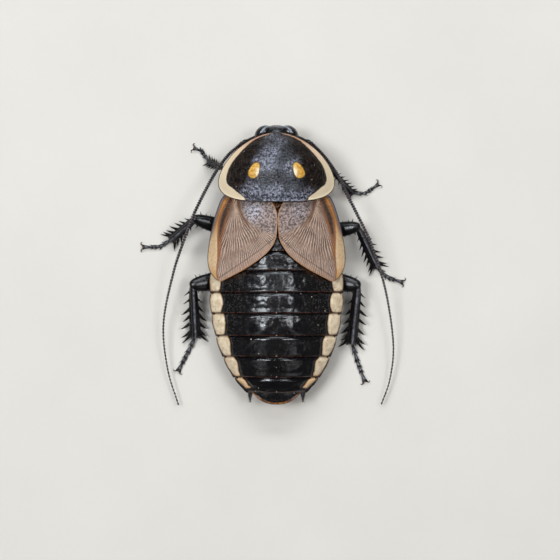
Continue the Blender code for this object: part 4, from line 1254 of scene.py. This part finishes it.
def makeEye(sideName, side, material):
    eye = addBall("compound_eye_" + sideName, segments=56, rings=40)
    points = getPoints(eye) * np.array(head["eyeRadii"])
    # kidney shaped: the eye bends round the feeler's socket
    notch = hump(np.hypot(points[:, 0] * side + 0.45, points[:, 2] + 1.0), 0.5)
    points *= (1 - 0.22 * notch)[:, None]
    turn = np.array(Matrix.Rotation(head["eyeYaw"] * side, 3, "Z")) @ np.array(headTurn)
    points = points @ turn.T + np.array(onSide([head["eye"]], side)[0])
    setPoints(eye, points)
    # a painted highlight along the eye's inner top side
    crescent = smoothLine(onSide(head["crescent"], side), 40)
    topSide = ease(points[:, 2], head["eye"][2], head["eye"][2] + 0.4)
    storeValues(eye, crescent=0.62 * hump(planDistance(points, crescent), 0.13) * topSide)
    settle(eye, material, "eye", "eye_" + sideName, angle=180)


def makeLip(material):
    lip = addBall("labrum_lip", head["lip"], head["lipRadii"], head["tilt"], 32, 20)
    points = getPoints(lip)
    # two lobes with a ridge between them
    points[:, 2] -= 0.1 * hump(np.abs(points[:, 0]) - 0.42, 0.3) * (points[:, 2] < 0.9)
    points[:, 1] += 0.05 * hump(points[:, 0], 0.25)
    setPoints(lip, points)
    keepAbove(lip, 0.3)
    settle(lip, material, "mouthpart", "labrum")


def makeHead(black, eyeMaterial, mouthMaterial, paleMaterial):
    parts = [makeSkull()]
    for _, side in sides:
        parts += [makeSocket(side), makeJaw(side)]
    settle(joinPieces("head_capsule", parts), black, "black_cuticle", "head", angle=50)
    for sideName, side in sides:
        makeEye(sideName, side, eyeMaterial)
        # the simple eye, a pale window inside the socket
        ocellus = addBall("ocellus_" + sideName, headPlace(*head["simpleEye"], side),
                          head["simpleEyeRadii"], head["tilt"], 20, 12)
        settle(ocellus, paleMaterial, "mouthpart", "head", angle=180)
    makeLip(mouthMaterial)
    makePalps(mouthMaterial)


# palps: jointed fingers beside the mouth, each joint widest before its end

palpJoint = ((0, 0.5, 0.5, 0), (0.06, 0.66, 0.66, 0), (0.45, 0.8, 0.8, 0), (0.82, 1.02, 1.02, 0),
             (0.96, 0.94, 0.94, 0), (1.0, 0.6, 0.6, 0))
palps = {
    "maxillary": {"path": ((1.45, 15.55, 1.5), (1.95, 15.4, 1.15), (2.5, 15.3, 1.0), (3.0, 16.3, 0.75),
                           (2.6, 17.3, 0.6)),
                  "joints": (0, 0.12, 0.24, 0.5, 0.74, 1.0), "radius": 0.23},
    "labial": {"path": ((0.5, 15.0, 1.5), (0.65, 14.5, 1.05), (0.85, 14.1, 0.8), (1.15, 13.9, 0.5)),
               "joints": (0, 0.36, 0.66, 1.0), "radius": 0.19},
}


def makePalps(material):
    joint = growShape("palp_joint", palpJoint, 12, 1)
    for kind, palp in palps.items():
        for sideName, side in sides:
            line = smoothLine(onSide(palp["path"], side), 101)
            parts = []
            for start, end in zip(palp["joints"], palp["joints"][1:]):
                a, b = (Vector(line[round(share * 100)]) for share in (start, end))
                radius = palp["radius"] * (0.95 if end < 1 else 1.05)
                parts.append(copyBetween(joint, a, b, radius, radius, 1.04))
            whole = joinPieces(f"{kind}_feeler_{sideName}", parts)
            settle(whole, material, "mouthpart", f"{kind}_palp_{sideName}")
    removePieces(joint)


# antennae: scape and pedicel, then a long whip of beads that lengthen to the tip

feelers = {
    "scape": ((1.25, 17.3, 2.75), (1.75, 17.2, 2.5), (2.9, 16.55, 2.7), (3.45, 16.32, 3.05),
              (4.45, 15.9, 3.68)),
    "swell": (0.22, 0.24, 0.27, 0.31, 0.33, 0.34, 0.34, 0.35, 0.36, 0.34, 0.27, 0.26, 0.35, 0.35, 0.24),
    "paths": {
        "left": ((-4.4, 15.86, 3.66), (-4.72, 15.62, 3.84), (-6.2, 14.35, 4.25), (-7.9, 12.0, 4.7),
                 (-9.3, 9.4, 5.2), (-10.7, 6.5, 5.5), (-11.9, 3.4, 5.1), (-13.4, -1.0, 4.0),
                 (-14.8, -7.7, 2.4), (-14.3, -13.7, 1.4), (-12.9, -18.4, 1.0)),
        "right": ((4.4, 15.86, 3.66), (4.72, 15.62, 3.84), (6.15, 14.2, 4.25), (7.9, 11.7, 4.7),
                  (9.2, 9.0, 5.1), (10.9, 5.6, 5.3), (12.3, 2.6, 4.9), (14.2, -3.3, 3.6),
                  (15.3, -10.3, 2.1), (14.9, -15.0, 1.3), (13.8, -18.3, 1.0)),
    },
    "beads": 104, "radius": 0.225, "tipRadius": 0.105, "firstLength": 0.3, "lastLength": 0.62,
    "bead": ((0, 0.46, 0.46, 0), (0.16, 0.66, 0.66, 0), (0.42, 1.0, 1.0, 0), (0.72, 1.14, 1.14, 0),
             (0.9, 0.92, 0.92, 0), (1.0, 0.46, 0.46, 0)),
    "hairs": {"count": 3, "share": 0.7, "depth": 0.8, "spread": 0.8, "lean": 1.0,
              "size": (0.016, 0.016, 0.16)},
}
# a three-sided hair, bent at its tip
hairForm = ((0, 1, 1, 0), (1, 0.1, 0.1, 0.2))


# hairs set round a joint that runs from a to b, turned from joint to joint
def hairsRound(hair, a, b, radius, hairs, turn):
    along = (b - a).normalized()
    parts = []
    for number in range(hairs["count"]):
        way = wayRound(b - a, number * math.tau / hairs["count"] + turn)
        root = a.lerp(b, hairs["share"]) + way * radius * hairs["depth"]
        lean = way * hairs["spread"] + along * hairs["lean"]
        parts.append(copyPiece(hair, layAlong(root, lean, way, hairs["size"])))
    return parts


def makeWhip(sideName, bead, hair):
    # the beads lengthen to the tip
    lengths = np.linspace(feelers["firstLength"], feelers["lastLength"], feelers["beads"])
    path = smoothLine(feelers["paths"][sideName], 1201)
    ends = np.concatenate(([0], np.cumsum(lengths))) / lengths.sum() * 1200
    parts = []
    for index in range(feelers["beads"]):
        a, b = (Vector(path[int(round(end))]) for end in ends[index:index + 2])
        share = (index + 0.5) / feelers["beads"]
        radius = mix(feelers["radius"], feelers["tipRadius"], ease(share, 0.3, 1.0))
        # the first few are stouter
        radius *= 1 + 0.3 * max(0.0, 1 - index / 4)
        parts.append(copyBetween(bead, a, b, radius, radius, 1.06))
        parts += hairsRound(hair, a, b, radius, feelers["hairs"], index * 1.3)
    return joinPieces("feeler_whip_" + sideName, parts)


def makeAntennae(scapeMaterial, whipMaterial):
    bead = growShape("bead", feelers["bead"], 10)
    # the waist is the joint with the next bead
    storeValues(bead, waist=ease(np.abs(getPoints(bead)[:, 2] - 0.6), 0.3, 0.44))
    hair = growShape("hair", hairForm, 3)
    for sideName, side in sides:
        line = smoothLine(onSide(feelers["scape"], side), len(feelers["swell"]))
        scape = drawTube("feeler_root_" + sideName, line, feelers["swell"], 4)
        applySubdivision(scape, 1)
        settle(scape, scapeMaterial, "feeler", "scape_" + sideName)
        nodes = [f"flagellum_{part}_{sideName}" for part in ("base", "middle", "tip")]
        settle(makeWhip(sideName, bead, hair), whipMaterial, "feeler", *nodes)
    removePieces(bead, hair)


# legs, in the photographed stance: the coxa's ends, the knee, and the foot's route

stance = {
    "fore_left": ((-2.6, 12.5, 2.8), (-2.5, 9.4, 2.68), (-6.9, 12.6, 2.5), (-9.05, 13.75, 0.62),
                  (-9.95, 15.1), (-10.75, 15.4)),
    "fore_right": ((2.6, 12.5, 2.8), (2.5, 9.4, 2.68), (6.9, 12.7, 2.6), (10.1, 9.4, 0.62),
                   (11.7, 9.5), (13.3, 10.6)),
    "mid_left": ((-3.9, 7.6, 2.86), (-2.9, 3.9, 2.7), (-10.6, 6.0, 3.5), (-13.95, 3.3, 0.62),
                 (-15.5, 2.45), (-17.5, 2.4)),
    "mid_right": ((3.9, 7.6, 2.86), (2.9, 3.9, 2.7), (10.55, 5.0, 3.2), (13.2, -0.3, 0.62),
                  (14.7, -1.6), (16.5, -2.2)),
    "hind_left": ((-3.9, 2.9, 2.86), (-2.9, -1.0, 2.66), (-10.9, -2.6, 3.3), (-10.7, -9.5, 0.68),
                  (-11.95, -11.95), (-12.9, -13.8)),
    "hind_right": ((3.9, 2.9, 2.86), (2.9, -1.0, 2.66), (10.6, -2.7, 2.9), (9.9, -10.3, 0.68),
                   (10.9, -13.3), (11.6, -15.2)),
}
# half width and half depth of each limb; each spine row's count and stretch; a spine's length and
# thickness; the toes' shares of the foot; how bright the sheen painted along the shin's ridge is
limbs = {
    "fore": {"coxa": (0.95, 0.5), "femur": (0.8, 0.54), "tibia": (0.35, 0.34), "outer": (7, 0.16, 0.88),
             "inner": (5, 0.3, 0.86), "spine": (0.72, 0.18), "toes": (0.3, 0.18, 0.13, 0.11, 0.28),
             "toeRadius": 0.23, "ridgeSheen": 0.35},
    "mid": {"coxa": (1.15, 0.5), "femur": (1.02, 0.56), "tibia": (0.58, 0.46), "outer": (6, 0.14, 0.88),
            "inner": (6, 0.22, 0.86), "spine": (1.12, 0.27), "toes": (0.28, 0.17, 0.13, 0.12, 0.3),
            "toeRadius": 0.27, "ridgeSheen": 0.9},
    "hind": {"coxa": (1.3, 0.5), "femur": (1.2, 0.58), "tibia": (0.68, 0.52), "outer": (6, 0.12, 0.86),
             "inner": (5, 0.24, 0.84), "spine": (1.36, 0.34), "toes": (0.27, 0.19, 0.16, 0.13, 0.25),
             "toeRadius": 0.29, "ridgeSheen": 0.9},
}
# stations of the limbs' shells, in shares of the length and of the half width and depth
limbForms = {
    "coxa": ((0, 0.55, 0.56, 0), (0.06, 0.82, 0.8, 0), (0.3, 1.0, 1.04, 0.02), (0.6, 0.92, 1.0, 0.02),
             (0.85, 0.7, 0.84, 0), (1.0, 0.5, 0.7, -0.05), (1.06, 0.36, 0.6, -0.2)),
    "femur": ((-0.02, 0.24, 0.4, 0.1), (0.02, 0.4, 0.64, 0.05), (0.08, 0.44, 0.72, 0),
              (0.13, 0.42, 0.64, 0), (0.18, 0.66, 0.72, 0), (0.3, 0.95, 0.86, 0), (0.5, 1.02, 1.0, 0),
              (0.68, 1.0, 1.04, 0), (0.82, 0.92, 1.02, 0), (0.92, 0.8, 1.04, 0), (0.98, 0.68, 0.98, 0),
              (1.03, 0.5, 0.74, 0), (1.055, 0.24, 0.36, 0)),
    "tibia": ((-0.03, 0.3, 0.4, 0), (0, 0.56, 0.62, 0), (0.05, 0.7, 0.74, 0), (0.14, 0.84, 0.88, 0),
              (0.3, 0.94, 0.95, 0), (0.6, 1.02, 0.98, 0), (0.84, 1.12, 1.0, 0), (0.96, 1.1, 0.96, 0),
              (1.0, 0.8, 0.76, 0), (1.015, 0.5, 0.5, 0)),
    "shellSize": 1.03, "thighStart": 1.42, "footHeight": 0.24, "sole": 0.012,
    "trochanter": (0.4, 0.36, 0.52), "trochanterHeight": 2.02,
    # the short spines on the thigh's last part, and the four spurs round the ankle: spread, lift and reach
    "kneeRow": (5, 0.56, 0.9), "kneeSpine": (0.42, 0.15),
    "spurs": ((-1, 0.0, 1.2), (1, 0.0, 1.3), (-0.4, -0.4, 0.8), (0.4, -0.4, 0.8)),
    "spine": ((0, 1.0, 0.8, 0), (0.3, 0.86, 0.7, 0.0), (0.6, 0.58, 0.48, 0.02), (0.85, 0.26, 0.22, -0.1),
              (1.0, 0.04, 0.04, -0.34)),
    "hair": ((0, 1, 1, 0), (0.5, 0.6, 0.6, 0.02), (1, 0.1, 0.1, 0.12)), "hairWidth": 0.014,
    "toe": ((0, 0.44, 0.46, 0), (0.06, 0.56, 0.56, 0), (0.35, 0.7, 0.7, 0), (0.72, 1.02, 0.98, 0),
            (0.9, 1.16, 1.1, 0), (1.0, 0.66, 0.66, 0)),
    "toeTaper": (1.0, 0.96, 0.92, 0.88, 0.9),
    # a claw's bends: ahead of the foot's tip, out to its side and up
    "claw": ((-0.2, 0.04, 0.02), (0.06, 0.15, 0.08), (0.28, 0.28, 0.1), (0.4, 0.43, 0.02),
             (0.38, 0.58, -0.1), (0.26, 0.66, -0.17)),
    "clawRadii": (0.12, 0.03),
}
straightUp = Vector((0, 0, 1))


def makeLegTools():
    spine = growShape("spine", limbForms["spine"], 8)
    hair = growShape("legHair", limbForms["hair"], 3)
    toe = growShape("toe", limbForms["toe"], 12, 1)
    # the joints' tops get a painted highlight near their ends
    points = getPoints(toe)
    storeValues(toe, sheen=0.6 * ease(points[:, 1], 0.2, 0.75) * hump(points[:, 2] - 0.72, 0.22))
    return spine, hair, toe


# a limb's own ways: to its end, across it and up
def limbWays(start, end):
    along = (end - start).normalized()
    across = along.cross(straightUp).normalized()
    return along, across, across.cross(along).normalized()


# a row of spines down one edge of a limb, small by the body, large by the foot, leaning to the foot
def spineRow(spine, start, end, way, halfWidth, row, size, lean, wobble):
    count, first, last = row
    along = (end - start).normalized()
    parts = []
    for step in range(count):
        share = mix(first, last, step / (count - 1)) + wobble.uniform(-0.015, 0.015)
        heading = way + along * (lean + wobble.uniform(-0.1, 0.12))
        heading += Vector((0, 0, wobble.uniform(-0.05, 0.16)))
        root = start.lerp(end, share) + way * halfWidth * 0.5
        full = mix(0.55, 1.0, float(ease(share, first - 0.05, 0.55))) * wobble.uniform(0.9, 1.06)
        reach = size[0] * full + halfWidth * 0.5
        thick = size[1] * full
        parts.append(copyPiece(spine, layAlong(root, heading, along, (thick, thick, reach))))
    return parts


# short hairs scattered round a limb
def hairsOn(hair, start, end, halfWidth, count, length, wobble):
    along = (end - start).normalized()
    size = (limbForms["hairWidth"], limbForms["hairWidth"], length)
    parts = []
    for step in range(count):
        way = wayRound(along, wobble.uniform(0, math.tau))
        root = start.lerp(end, (step + wobble.uniform(0.2, 0.8)) / count) + way * halfWidth * 0.8
        parts.append(copyPiece(hair, layAlong(root, way + along * 0.9, way, size)))
    return parts


# a limb's shell, a little fuller than its stations because smoothing draws it in
def limbShell(name, kind, start, end, size):
    long = (end - start).length
    fuller = limbForms["shellSize"]
    stations = [(long * share, size[0] * wide * fuller, size[1] * deep * fuller, lean)
                for share, wide, deep, lean in limbForms[kind]]
    shell = growShape(name, stations, 16, 2)
    shell.data.transform(layAlong(start, end - start))
    return shell


# the femur, narrow at its trochanter, ends in a round knee
def makeThigh(name, size, hip, knee, tools, wobble, material):
    spine, hair, _ = tools
    start = Vector((hip.x, hip.y - 0.2, limbForms["thighStart"]))
    shell = limbShell("femur_shell_" + name, "femur", start, knee, size["femur"])
    across = limbWays(start, knee)[1]
    # the trochanter hangs the thigh on the coxa's end
    trochanter = addBall("trochanter", (start.x, start.y + 0.1, limbForms["trochanterHeight"]),
                         limbForms["trochanter"])
    parts = [shell, trochanter]
    wide = size["femur"][0]
    for way in (-across, across):
        parts += spineRow(spine, start, knee, way, wide * 0.86, limbForms["kneeRow"],
                          limbForms["kneeSpine"], 0.62, wobble)
    parts += hairsOn(hair, start.lerp(knee, 0.3), knee, wide * 0.7, 24, 0.22, wobble)
    settle(joinPieces("femur_shell_" + name, parts), material, "leg_cuticle", "femur_" + name)


# the tibia: a blunt ridge runs down its back between shallow grooves
def makeShin(name, size, side, knee, ankle, tools, wobble, material):
    spine, hair, _ = tools
    shell = limbShell("tibia_shell_" + name, "tibia", knee, ankle, size["tibia"])
    along, across, rise = limbWays(knee, ankle)
    points = getPoints(shell)
    away = points - np.array(knee)
    sideways, height = away @ np.array(across), away @ np.array(rise)
    thin = size["tibia"][0]
    back = ease(height, 0.0, thin * 0.5)
    crest = 0.16 * hump(sideways, thin * 0.42) - 0.1 * hump(np.abs(sideways) - thin * 0.62, thin * 0.16)
    points += (crest * thin * back)[:, None] * np.array(rise)
    setPoints(shell, points)
    # a sheen painted along the ridge
    storeValues(shell, sheen=size["ridgeSheen"] * hump(sideways + thin * 0.1, thin * 0.17) * back)
    outwards = across if across.x * side > 0 else -across
    parts = [shell]
    for way, row, lean in ((outwards, size["outer"], 0.8), (-outwards, size["inner"], 1.1)):
        parts += spineRow(spine, knee, ankle, way, thin, row, size["spine"], lean, wobble)
    long, broad = size["spine"]
    for spread, lift, reach in limbForms["spurs"]:
        lean = outwards * spread + along * 1.1 + rise * lift
        base = ankle - along * broad * 2 + outwards * spread * thin * 0.5 + rise * lift * thin * 0.4
        spurSize = (broad * 0.9, broad * 0.9, long * reach + thin * 0.5)
        parts.append(copyPiece(spine, layAlong(base, lean, along, spurSize)))
    parts += hairsOn(hair, knee, ankle, thin, 40, 0.26, wobble)
    shin = joinPieces("tibia_shell_" + name, parts)
    keepAbove(shin, 0.02)
    settle(shin, material, "leg_cuticle", "tibia_" + name)


# a pair of hooked claws at the foot's tip
def makeClaws(tip, forward):
    across = forward.cross(straightUp).normalized()
    claws = []
    for side in (-1, 1):
        hook = [tuple(tip + forward * ahead + across * side * out + straightUp * up)
                for ahead, out, up in limbForms["claw"]]
        claws.append(drawTube("claw", smoothLine(hook, 12), np.linspace(*limbForms["clawRadii"], 12), 2))
    return claws


# the foot: five joints that widen to their ends, with pads below and claws at the tip
def makeFoot(name, size, knee, ankle, sole, toeTip, tools, wobble, material, padMaterial):
    spine, hair, toe = tools
    along = limbWays(knee, ankle)[0]
    instep = ankle.lerp(sole, 0.5)
    instep.z = mix(ankle.z, limbForms["footHeight"], 0.78)
    line = smoothLine([tuple(point) for point in (ankle - along * 0.15, instep, sole, toeTip)], 201)
    reached = np.concatenate(([0], np.cumsum(size["toes"]))) * 200
    parts, pads = [], []
    for start, end, taper in zip(reached, reached[1:], limbForms["toeTaper"]):
        a, b = Vector(line[round(start)]), Vector(line[round(end)])
        radius = size["toeRadius"] * taper
        parts.append(copyBetween(toe, a, b, radius, radius * 0.92, 1.05))
        # a short spine on each side of the joint's end
        for way in (-1, 1):
            sideways = (b - a).cross(straightUp).normalized() * way
            base = a.lerp(b, 0.8) + sideways * radius * 0.4
            lean = sideways * 0.5 + (b - a).normalized()
            parts.append(copyPiece(spine, layAlong(base, lean, straightUp, (0.1, 0.1, radius * 2.4))))
        parts += hairsOn(hair, a, b, radius, 4, 0.14, wobble)
        if len(pads) < 4:
            pad = addBall("pad", radii=(0.14, 0.09, 0.17), segments=12, rings=8)
            pad.data.transform(layAlong(a.lerp(b, 0.86) - straightUp * 0.17, b - a))
            pads.append(pad)
    tip = Vector(line[200])
    forward = Vector(line[200] - line[192]).normalized()
    parts += makeClaws(tip, forward)
    pads.append(addBall("pad", tuple(tip + forward * 0.14), (0.14, 0.14, 0.09), segments=12, rings=8))
    foot = joinPieces("foot_" + name, parts)
    padPiece = joinPieces("foot_pads_" + name, pads)
    keepAbove(foot, limbForms["sole"])
    keepAbove(padPiece, limbForms["sole"])
    settle(foot, material, "leg_cuticle", "tarsus_" + name)
    settle(padPiece, padMaterial, "mouthpart", "tarsus_" + name, angle=180)


def makeLeg(name, joints, tools, material, padMaterial):
    size = limbs[name.split("_")[0]]
    side = -1 if "left" in name else 1
    wobble = random.Random(name)
    root, hip, knee, ankle = (Vector(point) for point in joints[:4])
    sole, toeTip = (Vector((*point, limbForms["footHeight"])) for point in joints[4:])
    coxa = limbShell("coxa_plate_" + name, "coxa", root, hip, size["coxa"])
    settle(coxa, material, "leg_cuticle", "coxa_" + name)
    makeThigh(name, size, hip, knee, tools, wobble, material)
    makeShin(name, size, side, knee, ankle, tools, wobble, material)
    makeFoot(name, size, knee, ankle, sole, toeTip, tools, wobble, material, padMaterial)


# cerci: short jointed feelers at the tail

cerci = {
    "path": ((3.3, -16.0, 3.36), (3.42, -16.6, 3.24), (3.45, -17.2, 3.1), (3.45, -17.88, 2.93)),
    "radii": (0.34, 0.42, 0.4, 0.35, 0.28, 0.21, 0.14, 0.08),
    "bead": ((0, 0.7, 0.7, 0), (0.2, 0.95, 0.95, 0), (0.8, 1.05, 1.05, 0), (1.0, 0.72, 0.72, 0)),
    "hairs": {"count": 5, "share": 0.6, "depth": 0.7, "spread": 1.0, "lean": 0.7,
              "size": (0.03, 0.03, 0.3)},
}


def makeCerci(material):
    bead = growShape("cercusBead", cerci["bead"], 12, 1)
    hair = growShape("hair", hairForm, 3)
    for sideName, side in sides:
        line = smoothLine(onSide(cerci["path"], side), 81)
        parts = []
        for index, radius in enumerate(cerci["radii"]):
            a, b = Vector(line[index * 10]), Vector(line[index * 10 + 10])
            parts.append(copyBetween(bead, a, b, radius, radius * 0.8, 1.06))
            parts += hairsRound(hair, a, b, radius, cerci["hairs"], index)
        cercus = joinPieces("tail_feeler_" + sideName, parts)
        settle(cercus, material, "feeler", "cercus_" + sideName)
    removePieces(bead, hair)


# floor, light and camera

studio = {
    # the view's width and the camera's height and aim in millimetres
    "viewWidth": 72.8, "distance": 240.0, "aim": (0.455, -1.95, 4.0), "sensor": 36.0,
    # boxes of light: place from the trunk's middle in metres, size, watts, colour
    "middle": (0, -1.0, 5.0),
    "lights": (
        ("keyLeft", (-0.19, 0.03, 0.43), (0.15, 0.17), 1.26, (0.9, 0.95, 1.0)),
        ("keyRight", (0.17, 0.03, 0.43), (0.12, 0.15), 0.61, (0.92, 0.96, 1.0)),
        ("frontLight", (0, 0.34, 0.3), (0.42, 0.08), 0.85, (0.88, 0.94, 1.0)),
        ("seamLight", (0, 0.24, 0.43), (0.32, 0.05), 0.3, (0.88, 0.94, 1.0)),
        ("rearLeft", (-0.27, -0.27, 0.36), (0.2, 0.2), 0.12, (0.95, 0.97, 1.0)),
        ("rearRight", (0.27, -0.27, 0.36), (0.2, 0.2), 0.12, (0.95, 0.97, 1.0)),
        ("overhead", (0.1, 0, 0.9), (1.2, 1.2), 0.27, (1.0, 0.97, 0.92)),
    ),
    "roomColour": (0.9, 0.94, 1.0, 1), "roomStrength": 0.07, "floorSize": 3.0,
    "floorTones": {"dark": (212, 205, 195), "pale": (222, 216, 207)},
}


def addFloor():
    f = Finish("paleFloor", studio["floorTones"], roughness=0.7, specular=0.2)
    colour = f.blend(f.noise(0.05, 4), "dark", "pale")
    bpy.ops.object.select_all(action="DESELECT")
    bpy.ops.mesh.primitive_plane_add(size=studio["floorSize"], location=(0, 0, 0))
    floor = bpy.context.object
    floor.name = "studio_floor"
    floor.data.materials.append(f.dress(colour, None, f.bump(f.noise(3, 4), 0.05, 0.4)))


def addSoftbox(name, place, aim, size, power, colour):
    light = bpy.data.lights.new(name, "AREA")
    light.shape = "ELLIPSE"
    light.size, light.size_y = size
    light.energy = power
    light.color = colour
    box = bpy.data.objects.new(name, light)
    box.location = place
    box.rotation_euler = (Vector(aim) - Vector(place)).to_track_quat("-Z", "Y").to_euler()
    bpy.context.scene.collection.objects.link(box)


def addCamera():
    camera = bpy.data.cameras.new("camera")
    camera.sensor_width = studio["sensor"]
    camera.lens = studio["sensor"] * studio["distance"] / studio["viewWidth"]
    camera.clip_start, camera.clip_end = 0.01, 10
    holder = bpy.data.objects.new("camera", camera)
    holder.location = zeroPlace + Vector(studio["aim"]) * mm + Vector((0, 0, studio["distance"] * mm))
    bpy.context.scene.collection.objects.link(holder)
    bpy.context.scene.camera = holder


def makeStudio():
    addFloor()
    middle = zeroPlace + Vector(studio["middle"]) * mm
    for name, place, size, power, colour in studio["lights"]:
        addSoftbox(name, middle + Vector(place), middle, size, power, colour)
    world = bpy.data.worlds.new("softRoom")
    world.use_nodes = True
    background = world.node_tree.nodes["Background"]
    background.inputs["Color"].default_value = studio["roomColour"]
    background.inputs["Strength"].default_value = studio["roomStrength"]
    bpy.context.scene.world = world
    bpy.context.scene.view_settings.view_transform = "Standard"
    addCamera()


def main():
    makeStudio()
    print("studio ready")
    black, leg, belly, membrane = (makeBlackFinish(name) for name in blackParts)
    mouth, simpleEye, amberTail = (makeAmberFinish(name) for name in amberParts)
    ringed = makeRingFinish()
    wingLeather = makeWingFinish()
    print("finishes ready")
    makePronotum(makeShieldFinish())
    for sideName, side in sides:
        makeWing(sideName, side, wingLeather)
    print("shield and wings ready")
    makeAbdomen(ringed, belly)
    makeTailPlate("tail_plate_upper", True, makeTailFinish(), "ring_cuticle", "supra_anal_plate")
    makeTailPlate("tail_plate_lower", False, amberTail, "tail_rim", "subgenital_plate")
    makeThorax(ringed, belly, membrane)
    makeProthorax(black, membrane)
    print("trunk ready")
    makeHead(black, makeEyeFinish(), mouth, simpleEye)
    makeAntennae(black, makeFeelerFinish())
    print("head and feelers ready")
    tools = makeLegTools()
    for name, joints in stance.items():
        makeLeg(name, joints, tools, leg, mouth)
    removePieces(*tools)
    makeCerci(black)
    print("legs and tail ready")


main()
